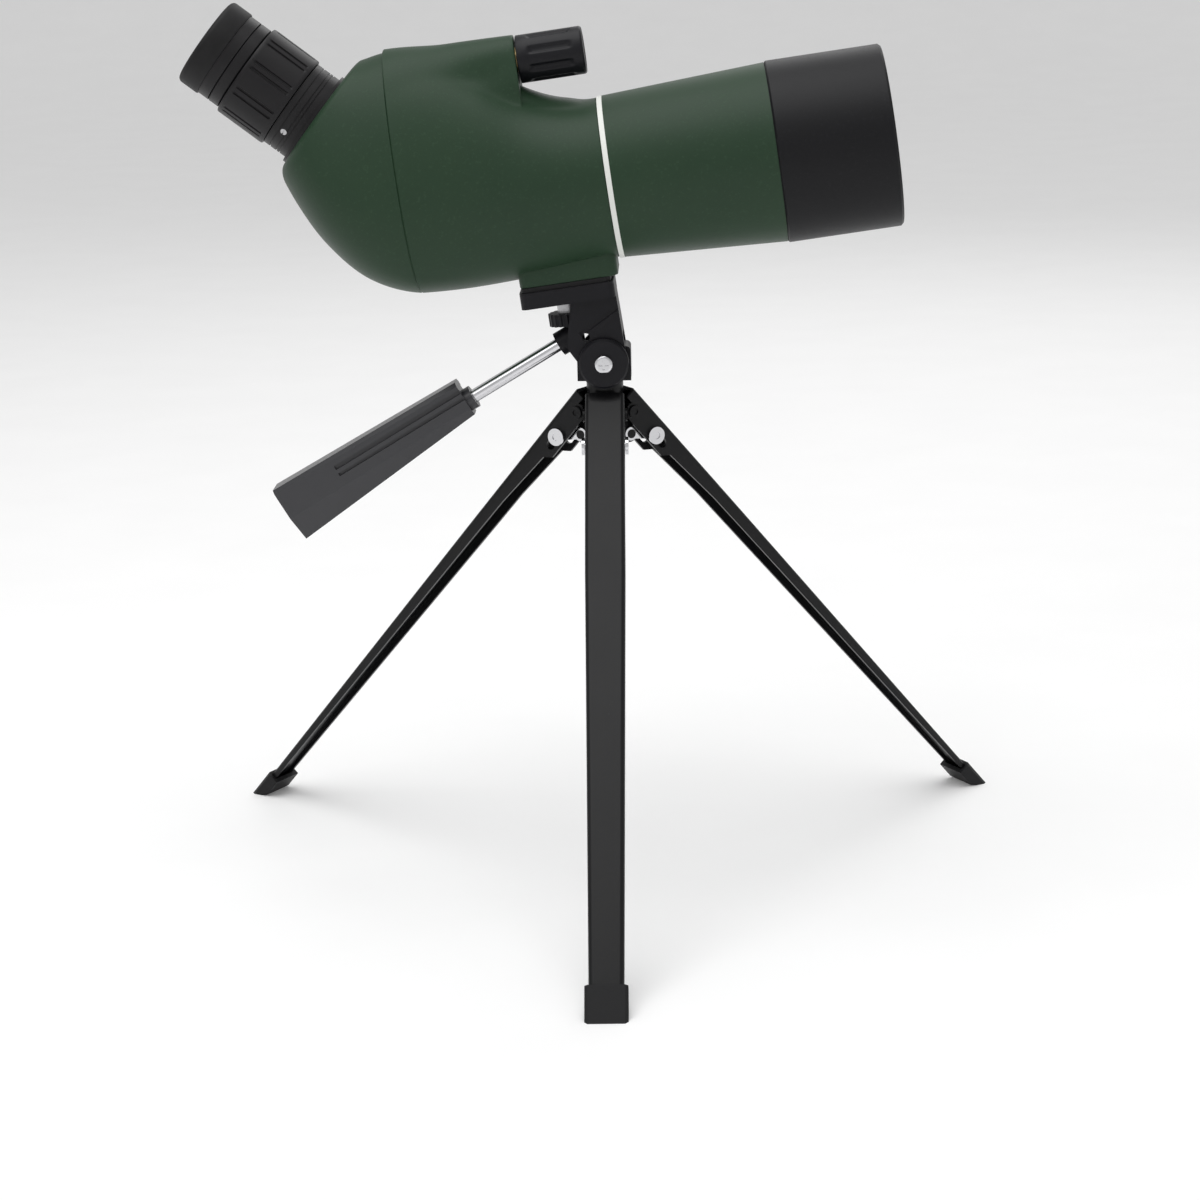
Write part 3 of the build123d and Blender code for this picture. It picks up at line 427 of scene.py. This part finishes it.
# ------------------------------------------------------------------ modelling helpers
@dataclass(frozen=True)
class Seat:
    """A local frame on the scope or its tripod, whose Z is a turned piece's axis."""

    origin: Vector
    axis: Vector
    side: Vector

    def matrix(self) -> Matrix:
        """The frame as a matrix: X is the side, Z the axis."""
        z = self.axis.normalized()
        x = (self.side - z * self.side.dot(z)).normalized()
        turn = Matrix((x, z.cross(x), z)).transposed().to_4x4()
        return Matrix.Translation(self.origin) @ turn

    @classmethod
    def of_mount(cls, name: str, side: tuple[float, float, float] = (0, -1, 0)) -> "Seat":
        """The frame at a mount of the record."""
        mount = next(m for m in frame["record"]["mounts"] if m["name"] == name)
        return cls(Vector(mount["pos_m"]), Vector(mount["axis"]), Vector(side))

    def along(self, distance: float) -> "Seat":
        """The same frame further along its axis."""
        return Seat(self.origin + self.axis.normalized() * distance, self.axis, self.side)


def edit(action: Callable[[], object]) -> None:
    """Runs an action with the active piece in edit mode."""
    bpy.ops.object.mode_set(mode="EDIT")
    action()
    bpy.ops.object.mode_set(mode="OBJECT")


def only(piece: bpy.types.Object) -> None:
    """Selects one piece and makes it active."""
    bpy.ops.object.select_all(action="DESELECT")
    piece.select_set(True)
    bpy.context.view_layer.objects.active = piece


def modify(piece: bpy.types.Object, kind: str, **settings: object) -> None:
    """Adds a modifier and applies it."""
    only(piece)
    modifier = piece.modifiers.new(kind.lower(), kind)
    for key, setting in settings.items():
        setattr(modifier, key, setting)
    bpy.ops.object.modifier_apply(modifier=modifier.name)


def seat(piece: bpy.types.Object, place: Matrix) -> None:
    """Puts a piece's mesh into the frame, with its object left at the origin."""
    piece.data.transform(piece.matrix_basis)
    piece.matrix_basis = Matrix.Identity(4)
    piece.data.transform(place)
    piece.data.update()


def smooth(piece: bpy.types.Object, angle: float = 32.0) -> None:
    """Shades smooth up to an angle."""
    only(piece)
    bpy.ops.object.shade_smooth_by_angle(angle=math.radians(angle))


def turned(name: str, outline: Sequence[tuple[float, float]], segments: int = 96) -> bpy.types.Object:
    """Turns a closed outline about Z, ring by ring.

    Args:
        name: the piece's name.
        outline: (radius, height) points in millimetres, anticlockwise, none of them on the axis.
        segments: faces round the piece.

    Returns:
        The piece, in its own frame.
    """
    bpy.ops.object.select_all(action="DESELECT")
    radius, height = outline[0]
    bpy.ops.mesh.primitive_circle_add(vertices=segments, radius=radius * MM, location=(0, 0, height * MM))
    piece = bpy.context.object
    piece.name = piece.data.name = name

    def act() -> None:
        """Works on the mesh in edit mode."""
        bpy.ops.mesh.select_all(action="SELECT")
        last_r, last_z = radius, height
        for r, z in [*outline[1:], outline[0]]:
            bpy.ops.mesh.extrude_edges_move(TRANSFORM_OT_translate={"value": (0, 0, (z - last_z) * MM)})
            bpy.ops.transform.resize(value=(r / last_r, r / last_r, 1.0), center_override=(0, 0, z * MM))
            last_r, last_z = r, z
        bpy.ops.mesh.select_all(action="SELECT")
        bpy.ops.mesh.remove_doubles(threshold=0.000002)
        bpy.ops.mesh.normals_make_consistent(inside=False)

    edit(act)
    seat(piece, Matrix.Identity(4))
    return piece


def finish_piece(
    piece: bpy.types.Object, finish: Finish, body: str, node: str, place: Matrix
) -> None:
    """Seats, dresses and fastens a finished piece.

    Args:
        piece: the piece, in its own frame.
        finish: its finish.
        body: the body that it rides on.
        node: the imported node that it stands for.
        place: where its own frame goes.
    """
    seat(piece, place)
    dress(piece, finish)
    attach(piece, body)
    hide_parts(node)
    LOG.info("%s: %d faces", piece.name, len(piece.data.polygons))


def soft_step(x: float) -> float:
    """A smooth step from nought to one."""
    x = min(1.0, max(0.0, x))
    return x * x * (3 - 2 * x)


def soft_max(a: float, b: float, reach: float) -> float:
    """The larger of two numbers, blended where they are within reach of each other."""
    near = max(reach - abs(a - b), 0.0) / reach
    return max(a, b) + near * near * reach / 4


def polar(radius: float, angle: float, height: float) -> Vector:
    """A point round Z."""
    return Vector((radius * math.cos(angle), radius * math.sin(angle), height))


def lofted(name: str, rings: Sequence[Sequence[Vector]], capped: bool = False) -> bpy.types.Object:
    """Joins rings of points into a closed skin.

    Args:
        name: the piece's name.
        rings: rings of equally many points, in millimetres.
        capped: whether both ends are capped, rather than the last ring joined to the first.

    Returns:
        The piece, in its own frame.
    """
    rows = list(rings) if capped else [*rings, rings[0]]
    count = len(rings[0])
    bpy.ops.object.select_all(action="DESELECT")
    bpy.ops.mesh.primitive_circle_add(vertices=count, radius=MM, location=(0, 0, 0))
    piece = bpy.context.object
    piece.name = piece.data.name = name

    def act() -> None:
        """Works on the mesh in edit mode."""
        bpy.ops.mesh.select_all(action="SELECT")
        for _ in rows[1:]:
            bpy.ops.mesh.extrude_edges_move(TRANSFORM_OT_translate={"value": (0, 0, MM)})

    edit(act)
    seat(piece, Matrix.Identity(4))
    for vertex in piece.data.vertices:
        row = rows[round(vertex.co.z / MM)]
        turn = round(math.atan2(vertex.co.y, vertex.co.x) / (2 * math.pi) * count) % count
        vertex.co = row[turn] * MM

    def close() -> None:
        """Closes the skin and turns it outwards."""
        bpy.ops.mesh.select_all(action="SELECT")
        bpy.ops.mesh.remove_doubles(threshold=0.000002)
        if capped:
            bpy.ops.mesh.fill_holes(sides=0)
        bpy.ops.mesh.normals_make_consistent(inside=False)

    only(piece)
    edit(close)
    return piece


def grooved(
    name: str,
    outline: Sequence[tuple[float, float, float]],
    segments: int,
    cut: Callable[[float], float],
    capped: bool = False,
) -> bpy.types.Object:
    """Turns an outline about Z, with grooves that run along it.

    Args:
        name: the piece's name.
        outline: radius, height and share of the grooves' depth, row by row.
        segments: faces round the piece.
        cut: the grooves' depth at an angle.
        capped: whether the ends are capped.

    Returns:
        The piece, in its own frame.
    """
    angles = [2 * math.pi * k / segments for k in range(segments)]
    depths = [cut(a) for a in angles]
    rings = [[polar(r - share * d, a, z) for a, d in zip(angles, depths)] for r, z, share in outline]
    return lofted(name, rings, capped)


def between(rows: Sequence[tuple[float, ...]], at: float) -> list[float]:
    """Reads a table at a place, with a smooth curve through its rows.

    Args:
        rows: rows of a place and what is found there.
        at: the place.

    Returns:
        What is found there.
    """
    rows = sorted(rows)
    at = min(max(at, rows[0][0]), rows[-1][0])
    k = next((i for i in range(1, len(rows)) if at <= rows[i][0]), len(rows) - 1)
    a, b = rows[k - 1], rows[k]
    span = b[0] - a[0]
    t = (at - a[0]) / span
    found = []
    for i in range(1, len(a)):
        rise = (b[i] - a[i]) / span
        start = (b[i] - rows[k - 2][i]) / (b[0] - rows[k - 2][0]) if k > 1 else None
        end = (rows[k + 1][i] - a[i]) / (rows[k + 1][0] - a[0]) if k + 1 < len(rows) else None
        start = 2 * rise - end if start is None else start
        end = 2 * rise - start if end is None else end
        h1, h2 = 2 * t**3 - 3 * t**2 + 1, t**3 - 2 * t**2 + t
        h3, h4 = -2 * t**3 + 3 * t**2, t**3 - t**2
        found.append(h1 * a[i] + h2 * span * start + h3 * b[i] + h4 * span * end)
    return found


# ------------------------------------------------------------------ scope body
@dataclass
class BodyCasting:
    """Main casting of the scope with its focus turret, in the scope's own frame."""

    front: float = -0.85
    turret: float = -25.0
    wall: float = 1.8
    rim: float = 0.3
    segments: int = 288
    bush: float = 4.05
    neck: float = 26.4
    climb: float = 0.12
    flank: float = 0.55
    saddle_start: float = -1.5
    saddle_fade: float = 9.0
    saddle_flare: float = 18.0
    saddle_blend: float = 3.5
    tower_flare: float = 17.0
    tower_blend: float = 5.0
    tower_edge: tuple[tuple[float, float], ...] = ((0.0, 0.4), (0.1, 0.16), (0.35, 0.0))
    foot_front: float = -2.0
    foot_rear: float = -35.0
    foot_half: float = 12.5
    foot_corner: float = 3.0
    foot_top: float = -21.5
    foot_edge: tuple[tuple[float, float], ...] = ((-30.6, 0.0), (-30.9, 0.12), (-31.0, 0.4))
    insert: float = 5.05
    sections: tuple[tuple[float, float, float, float], ...] = (
        (-0.85, 26.4, -26.4, 26.4),
        (-14, 27.2, -27.6, 27.0),
        (-27, 32.0, -28.6, 27.5),
        (-40, 41.5, -29.3, 27.9),
        (-54, 48.8, -29.5, 28.2),
        (SEAM, 51.2, -28.8, 28.3),
    )
    tower: tuple[tuple[float, float, float], ...] = (
        (-25, 8.25, FOCUS_HEIGHT), (-45, 11.5, 39.6), (-67, 17.0, 34.0),
    )
    saddle: tuple[tuple[float, float, float], ...] = (
        (-5.5, 7.0, 19.2), (-13, 7.6, 20.6), (-19.5, 8.0, 23.0), (-25.5, 8.25, 26.2),
    )

    def _oval(self, u: float, sine: float, cosine: float) -> float:
        """How far the plain casting reaches from the axis in one direction."""
        top, bottom, half = between(self.sections, u)
        middle = self.climb * (top - self.neck)
        for height, sign in ((top - middle, 1), (middle - bottom, -1)):
            a = (cosine / half) ** 2 + (sine / height) ** 2
            b = -2 * sine * middle / height**2
            c = (middle / height) ** 2 - 1
            r = (-b + math.sqrt(b * b - 4 * a * c)) / (2 * a)
            if (r * sine - middle) * sign >= -1e-9:
                return r
        return half

    def _bump(self, rows: Sequence[tuple[float, ...]], u: float, lean: float, flare: float) -> float:
        """How far a round boss over the axis reaches at an angle from the upright."""
        radius, height = between(rows, u)
        edge = math.asin(min(0.98, radius / height))
        if abs(lean) < edge:
            return height * math.cos(lean) + math.sqrt(radius**2 - (height * math.sin(lean)) ** 2)
        rim = height * math.cos(edge)
        return rim * (1 - self.flank * soft_step((abs(lean) - edge) / flare))

    def _reach(self, u: float, angle: float, with_turret: bool) -> float:
        """The outer surface's distance from the axis."""
        sine, cosine = math.sin(angle), math.cos(angle)
        lean = math.atan2(cosine, sine)
        r = self._oval(u, sine, cosine)
        if self.turret - 12 < u < self.saddle_start:
            bump = self._bump(self.saddle, u, lean, math.radians(self.saddle_flare))
            proud = soft_max(r, bump, self.saddle_blend) - r
            r += proud * soft_step((self.saddle_start - u) / self.saddle_fade)
        if with_turret:
            bump = self._bump(self.tower, u, lean, math.radians(self.tower_flare))
            r = soft_max(r, bump, self.tower_blend)
        return r

    def _ring(self, u: float, tower: bool, inset: float = 0.0, rim: float = 0.0) -> list[Vector]:
        """One ring of the skin.

        Args:
            u: place along the axis.
            tower: whether the turret is there.
            inset: how far inside the outer surface, all round.
            rim: how much the turret's edge is rounded off there.

        Returns:
            The ring's points.
        """
        angles = [math.pi / 2 + 2 * math.pi * k / self.segments for k in range(self.segments)]
        plain = [self._reach(u, a, False) for a in angles]
        full = [self._reach(u, a, True) for a in angles] if tower else plain
        radii = [max(p, f - rim) - inset for p, f in zip(plain, full)]
        for _ in range(3):
            n = len(radii)
            radii = [(radii[k - 1] + 2 * radii[k] + radii[(k + 1) % n]) / 4 for k in range(n)]
        return [Vector((u, r * math.cos(a), r * math.sin(a))) for r, a in zip(radii, angles)]

    def _foot(self) -> bpy.types.Object:
        """The flat foot under the casting, with its bore for the tripod's insert."""
        front, rear = self.foot_front - self.foot_corner, self.foot_rear + self.foot_corner
        aside = self.foot_half - self.foot_corner
        corners = [(front, aside), (rear, aside), (rear, -aside), (front, -aside)]
        steps = 24
        rings = []
        for height, inset in ((self.foot_top, 0.0), *self.foot_edge):
            radius = self.foot_corner - inset
            ring = []
            for corner, (x, y) in enumerate(corners):
                for k in range(steps):
                    turn = math.pi / 2 * (corner + k / (steps - 1))
                    ring.append(Vector((x, y, 0)) + polar(radius, turn, height))
            rings.append(ring)
        middle = Vector((MOUNT_PLACE, 0, 0))
        angles = [math.atan2(p.y, p.x - middle.x) for p in rings[0]]
        for height in (self.foot_edge[-1][0], self.foot_top):
            rings.append([middle + polar(self.insert, a, height) for a in angles])
        return lofted("foot", rings)

    def build(self) -> bpy.types.Object:
        """Makes the casting's shell.

        Returns:
            The shell, in the scope's frame.
        """
        turret, front, rim = self.turret, self.front, self.rim
        rings = [self._ring(front, False, rim), self._ring(front - rim, False)]
        rings += [self._ring(front - 0.9 * k, False) for k in range(1, 27)]
        rings.append(self._ring(turret, False))
        rings += [self._ring(turret - behind, True, 0, cut) for behind, cut in self.tower_edge]
        start, back, count = turret - self.tower_edge[-1][0], SEAM + rim, 44
        rings += [self._ring(start + (back - start) * k / count, True) for k in range(1, count + 1)]
        rings.append(self._ring(SEAM, True, rim))
        inner = turret - 3
        rings += [self._ring(SEAM + (inner - SEAM) * k / 20, True, self.wall) for k in range(21)]
        inner = turret - 2.5
        rings += [self._ring(inner + (front - inner) * k / 8, False, self.wall) for k in range(9)]
        piece = lofted("body_casting", rings)
        foot = self._foot()
        modify(piece, "BOOLEAN", object=foot, operation="UNION", solver="EXACT")
        bpy.ops.object.select_all(action="DESELECT")
        bpy.ops.mesh.primitive_cylinder_add(vertices=64, radius=self.bush * MM, depth=12 * MM)
        drill = bpy.context.object
        mouth = Matrix.Translation((turret * MM, 0, FOCUS_HEIGHT * MM))
        seat(drill, mouth @ Matrix.Rotation(math.pi / 2, 4, "Y"))
        modify(piece, "BOOLEAN", object=drill, operation="DIFFERENCE", solver="EXACT")
        for tool in (foot, drill):
            bpy.data.objects.remove(tool)
        smooth(piece, 30)
        return piece


@dataclass
class RearCasting:
    """Rear housing, in the scope's own frame: it bends from the seam round to the eyepiece's seat.

    Its sections turn about the line where those two planes meet, and are measured down from it.
    """

    hinge: float = 58.75
    bend: float = 45.0
    axis_down: float = 36.84
    wall: float = 1.8
    reach: float = 40.0
    shoulder: float = 2.6
    rim: float = 0.3
    bore: float = 12.6
    segments: int = 240
    at_seam: tuple[float, ...] = (7.55, 87.55, 55.77, 28.3)
    at_seat: tuple[float, ...] = (12.64, 57.24, 38.54, 20.0)
    shares: tuple[tuple[float, ...], ...] = (
        (0.0, 0.0, 0.0, 0.0, 0.0),
        (0.25, 0.06, 0.173, 0.087, 0.072),
        (0.5, 0.208, 0.470, 0.289, 0.277),
        (0.75, 0.505, 0.766, 0.624, 0.614),
        (1.0, 1.0, 1.0, 1.0, 1.0),
    )

    def _point(self, share: float, aside: float, down: float) -> Vector:
        """A point of the plane at one share of the bend."""
        turn = math.radians(self.bend * share)
        return Vector((SEAM - down * math.sin(turn), aside, self.hinge - down * math.cos(turn)))

    def _ring(self, share: float, inset: float) -> list[Vector]:
        """One ring of the skin.

        Args:
            share: share of the bend.
            inset: how far inside the outer surface.

        Returns:
            The ring's points.
        """
        parts = between(self.shares, share)
        upper, lower, widest, half = (a + (b - a) * p for a, b, p in zip(self.at_seam, self.at_seat, parts))
        ring = []
        for k in range(self.segments):
            a = 2 * math.pi * k / self.segments
            tall = (widest - upper if math.sin(a) > 0 else lower - widest) - inset
            ring.append(self._point(share, (half - inset) * math.cos(a), widest - tall * math.sin(a)))
        return ring

    def _bore_ring(self, back: float) -> list[Vector]:
        """A ring of the bore in the seat, a little way behind it."""
        turn = math.radians(self.bend)
        inward = Vector((math.cos(turn), 0, -math.sin(turn))) * back
        angles = [2 * math.pi * k / self.segments for k in range(self.segments)]
        return [
            self._point(1.0, self.bore * math.cos(a), self.axis_down - self.bore * math.sin(a)) + inward
            for a in angles
        ]

    def build(self) -> bpy.types.Object:
        """Makes the housing's shell.

        Returns:
            The shell, in the scope's frame.
        """
        per_mm = 1 / (self.reach * math.radians(self.bend))
        shoulder = 1 - self.shoulder * per_mm
        rings = [self._ring(0.0, self.rim), self._ring(self.rim * per_mm * 0.7, 0.0)]
        rings += [self._ring(0.012 + (shoulder - 0.012) * k / 48, 0.0) for k in range(49)]
        for k in range(1, 7):
            turn = math.pi / 2 * k / 6
            away = self.shoulder * (1 - math.sin(turn))
            rings.append(self._ring(1 - away * per_mm, self.shoulder * (1 - math.cos(turn))))
        rings += [self._bore_ring(0.0), self._bore_ring(2.0)]
        rings += [self._ring((shoulder - 0.02) * (1 - k / 24), self.wall) for k in range(25)]
        piece = lofted("rear_casting", rings)
        smooth(piece, 30)
        return piece


@dataclass
class FocusKnob:
    """Fluted focus knob, on Z along the focus shaft, measured from the ring's plane."""

    radius: float = 7.85
    back: float = -24.5
    length: float = 22.0
    shaft: float = 2.55
    shaft_end: float = 10.3
    skirt: tuple[float, float, float] = (4.1, 6.05, 8.5)
    nose: float = 0.9
    dish: float = 0.2
    flutes: int = 8
    flute_fade: float = 2.4
    flute_width: float = 1.15
    flute_depth: float = 0.75
    segments: int = 288

    def _cut(self, angle: float) -> float:
        """Depth of the flutes at an angle."""
        pitch = 2 * math.pi / self.flutes
        off = (angle / pitch - 0.5 - round(angle / pitch - 0.5)) * pitch * self.radius
        return self.flute_depth * math.exp(-((off / self.flute_width) ** 4))

    def build(self) -> bpy.types.Object:
        """Makes the knob.

        Returns:
            The knob, in its own frame.
        """
        r, back, front = self.radius, self.back, self.back + self.length
        hub, skirt, hollow = self.skirt
        outline = [
            (self.shaft, front - self.shaft_end, 0.0), (self.shaft, back, 0.0), (hub, back, 0.0),
            (hub, back + hollow, 0.0), (skirt, back + hollow, 0.0), (skirt, back, 0.0),
            (r - 0.45, back, 0.0), (r - 0.13, back + 0.13, 0.0), (r, back + 0.45, 0.0),
        ]
        start, end = back + 3.2, front - 3.0
        outline += [(r, start + self.flute_fade * k / 7, soft_step(k / 7)) for k in range(8)]
        outline += [(r, end - self.flute_fade * k / 7, soft_step(k / 7)) for k in reversed(range(8))]
        nose, low = self.nose, front - self.dish
        for k in range(7):
            turn = math.pi / 2 * k / 6
            outline.append((r - nose + nose * math.cos(turn), front - nose + nose * math.sin(turn), 0.0))
        outline += [(r - 1.9, front, 0.0), (r - 2.2, low, 0.0), (0.6, low, 0.0)]
        piece = grooved("focus_knob_grip", outline, self.segments, self._cut, capped=True)
        smooth(piece, 35)
        return piece


@dataclass
class ZoomRing:
    """Zoom ring of the eyepiece, with pairs of shallow slits between its pads."""

    radius: float = 16.4
    bore: float = 13.0
    back: float = 9.9
    length: float = 18.2
    pads: int = 10
    slit_lean: float = 4.2
    slit_half: float = 0.42
    slit_depth: float = 0.5
    slit_fade: float = 0.8
    edge: float = 0.6
    segments: int = 900

    def _cut(self, angle: float) -> float:
        """Depth of the slits at an angle."""
        pitch = 2 * math.pi / self.pads
        off = (angle / pitch - round(angle / pitch)) * pitch
        near = abs(abs(off) - math.radians(self.slit_lean)) * self.radius
        return self.slit_depth * soft_step((self.slit_half + 0.1 - near) / 0.2)

    def build(self) -> bpy.types.Object:
        """Makes the ring.

        Returns:
            The ring, in the eyepiece's frame.
        """
        r, low, high = self.radius, self.back, self.back + self.length
        edge, soft = self.edge, 0.3 * self.edge
        outline = [
            (self.bore, low, 0.0), (r - edge, low, 0.0), (r - soft, low + soft, 0.0), (r, low + edge, 0.0),
        ]
        start, end = low + 1.5, high - 1.5
        outline += [(r, start + self.slit_fade * k / 5, soft_step(k / 5)) for k in range(6)]
        outline += [(r, end - self.slit_fade * k / 5, soft_step(k / 5)) for k in reversed(range(6))]
        outline += [(r, high - edge, 0.0), (r - soft, high - soft, 0.0)]
        outline += [(r - edge, high, 0.0), (self.bore, high, 0.0)]
        piece = grooved("zoom_ring_grip", outline, self.segments, self._cut)
        smooth(piece, 35)
        return piece


@dataclass
class EyeCup:
    """Rubber eyecup, with a rolled lip and a soft step above the sleeve."""

    radius: float = 15.7
    bore: float = 13.15
    back: float = 36.4
    front: float = 44.3
    lip: float = 1.6
    fold: float = 0.9

    def build(self) -> bpy.types.Object:
        """Makes the cup.

        Returns:
            The cup, in the eyepiece's frame.
        """
        r, low, high, lip, fold = self.radius, self.back, self.front, self.lip, self.fold
        outline = [(self.bore, low), (r - 0.55, low), (r - 0.2, low + 0.12), (r, low + 0.5)]
        for k in range(9):
            turn = math.pi / 2 * k / 8
            outline.append((r - lip + lip * math.cos(turn), high - lip + lip * math.sin(turn)))
        for k in range(1, 9):
            turn = math.pi / 2 * k / 8
            outline.append((r - lip - 0.5 - fold * math.sin(turn), high - fold + fold * math.cos(turn)))
        outline += [(self.bore - 0.7, high - 1.2), (self.bore, high - 2.4)]
        piece = turned("eyecup_cup", outline, 160)
        smooth(piece, 35)
        return piece


# ------------------------------------------------------------------ stage
@dataclass
class Studio:
    """Pale floor, soft lights and the camera."""

    hub_height: float = 163.2 * MM
    distance: float = 997.7 * MM
    azimuth: float = 1.364
    elevation: float = 10.43
    lens: float = 88.3
    yaw: float = -0.187
    pitch: float = -3.982
    roll: float = -1.244
    floor_radius: float = 3.0
    sweep_radius: float = 1.6
    air: float = 0.58

    def hub(self) -> Vector:
        """The hub's datum on the tripod's axis."""
        pivot = next(j for j in frame["joints"] if j["name"] == "pan")["pos_m"]
        return Vector((pivot[0], pivot[1], self.hub_height))

    def camera(self) -> None:
        """Stands the camera in front of the scope, a little above it."""
        azimuth, elevation = math.radians(self.azimuth), math.radians(self.elevation)
        back = Vector((
            math.sin(azimuth) * math.cos(elevation),
            -math.cos(azimuth) * math.cos(elevation),
            math.sin(elevation),
        ))
        forward = -back
        right = forward.cross(Vector((0, 0, 1))).normalized()
        up = right.cross(forward)
        for axis, angle in (("up", self.yaw), ("right", self.pitch), ("forward", self.roll)):
            c, s = math.cos(math.radians(angle)), math.sin(math.radians(angle))
            if axis == "up":
                forward, right = forward * c + right * s, right * c - forward * s
            elif axis == "right":
                forward, up = forward * c + up * s, up * c - forward * s
            else:
                right, up = right * c + up * s, up * c - right * s
        bpy.ops.object.camera_add()
        camera = bpy.context.object
        turn = Matrix((right, up, -forward)).transposed().to_4x4()
        camera.matrix_world = Matrix.Translation(self.hub() + back * self.distance) @ turn
        camera.data.lens = self.lens
        camera.data.sensor_width = 36.0
        camera.data.clip_start, camera.data.clip_end = 0.01, 100.0
        bpy.context.scene.camera = camera

    @staticmethod
    def _light(name: str, place: tuple[float, float, float], size: float, radiance: float) -> None:
        """Adds a soft square light that faces the scope.

        Args:
            name: the light's name.
            place: where it hangs, in metres.
            size: its side, in metres.
            radiance: how bright its face is, where the paper's white is one.
        """
        bpy.ops.object.light_add(type="AREA", location=place)
        light = bpy.context.object
        light.name = name
        light.data.shape = "SQUARE"
        light.data.size = size
        light.data.energy = radiance * math.pi * size**2
        aim = Vector((0.0, 0.0, 0.17)) - Vector(place)
        light.rotation_euler = aim.to_track_quat("-Z", "Y").to_euler()

    def floor(self) -> None:
        """Lays a round pale floor whose rim curves up into a backdrop all round."""
        bpy.ops.object.select_all(action="DESELECT")
        bpy.ops.mesh.primitive_circle_add(vertices=96, radius=self.floor_radius, fill_type="NGON")
        floor = bpy.context.object
        floor.name = "studio_floor"

        def act() -> None:
            """Works on the mesh in edit mode."""
            bpy.ops.mesh.select_all(action="SELECT")
            last = self.floor_radius
            for k in range(1, 9):
                turn = math.radians(80 * k / 8)
                radius = self.floor_radius + self.sweep_radius * math.sin(turn)
                rise = self.sweep_radius * (math.cos(turn - math.radians(10)) - math.cos(turn))
                bpy.ops.mesh.extrude_region_move(TRANSFORM_OT_translate={"value": (0, 0, rise)})
                bpy.ops.transform.resize(value=(radius / last, radius / last, 1.0))
                last = radius
            bpy.ops.mesh.delete(type="ONLY_FACE")

        edit(act)
        smooth(floor, 40)
        g = Graph("studio_paper")
        fibre = g.noise(18.0, 3.0, 0.5)
        g.set(Base_Color=g.mix(fibre, (0.88, 0.88, 0.88), (0.92, 0.92, 0.92)), Roughness=0.9)
        g.set(Emission_Color=(1.0, 1.0, 1.0), Emission_Strength=0.07)
        floor.data.materials.append(g.material)

    def build(self) -> None:
        """Makes the floor, the world, the lights and the camera."""
        self.floor()
        world = bpy.data.worlds.new("studio_air")
        bpy.context.scene.world = world
        world.use_nodes = True
        world.node_tree.nodes["Background"].inputs["Color"].default_value = (1, 1, 1, 1)
        world.node_tree.nodes["Background"].inputs["Strength"].default_value = self.air
        self._light("top_light", (-0.15, -0.15, 1.35), 1.1, 2.5)
        self._light("key_light", (-0.75, -1.0, 1.1), 0.6, 1.3)
        self._light("rim_light", (0.3, 1.2, 1.0), 0.8, 1.4)
        bpy.context.scene.view_settings.view_transform = "Standard"
        self.camera()


def dress_scope() -> None:
    """Builds the scope's finished pieces and puts each where its frame is."""
    ring = Seat.of_mount("hood_outside", (0, 0, 1)).along(-HOOD_MIDDLE * MM)
    side = Vector((0, 1, 0))
    axis = ring.axis.normalized()
    scope = Matrix.Translation(ring.origin) @ Matrix((axis, side, axis.cross(side))).transposed().to_4x4()
    focus = scope @ Matrix.Translation((0, 0, FOCUS_HEIGHT * MM)) @ Matrix.Rotation(math.pi / 2, 4, "Y")
    seat_middle = Matrix.Translation((EYE_PLACE * MM, 0, EYE_HEIGHT * MM))
    eye = scope @ seat_middle @ Matrix.Rotation(-EYE_LEAN, 4, "Y")
    rows = [
        (BodyCasting().build(), Finish.GREEN, "scope", "main_body", "green_armour", scope),
        (RearCasting().build(), Finish.GREEN, "scope", "rear_housing", "green_armour", scope),
        (FocusKnob().build(), Finish.KNOB, "focus_knob", "focus_knob", "knob_black", focus),
        (ZoomRing().build(), Finish.EYEPIECE, "zoom_ring", "zoom_ring", "eyepiece_black", eye),
        (EyeCup().build(), Finish.CUP, "eyecup", "eyecup_rubber", "cup_rubber", eye),
    ]
    for piece, finish, body, node, slot, place in rows:
        finish_piece(piece, finish, body, node, place)


def main() -> None:
    """Builds the scope's looks around the frame."""
    logging.basicConfig(level=logging.INFO, format="%(message)s")
    bpy.ops.object.select_all(action="DESELECT")
    Studio().build()
    dress_frame()
    dress_scope()


if __name__ == "__main__":
    main()
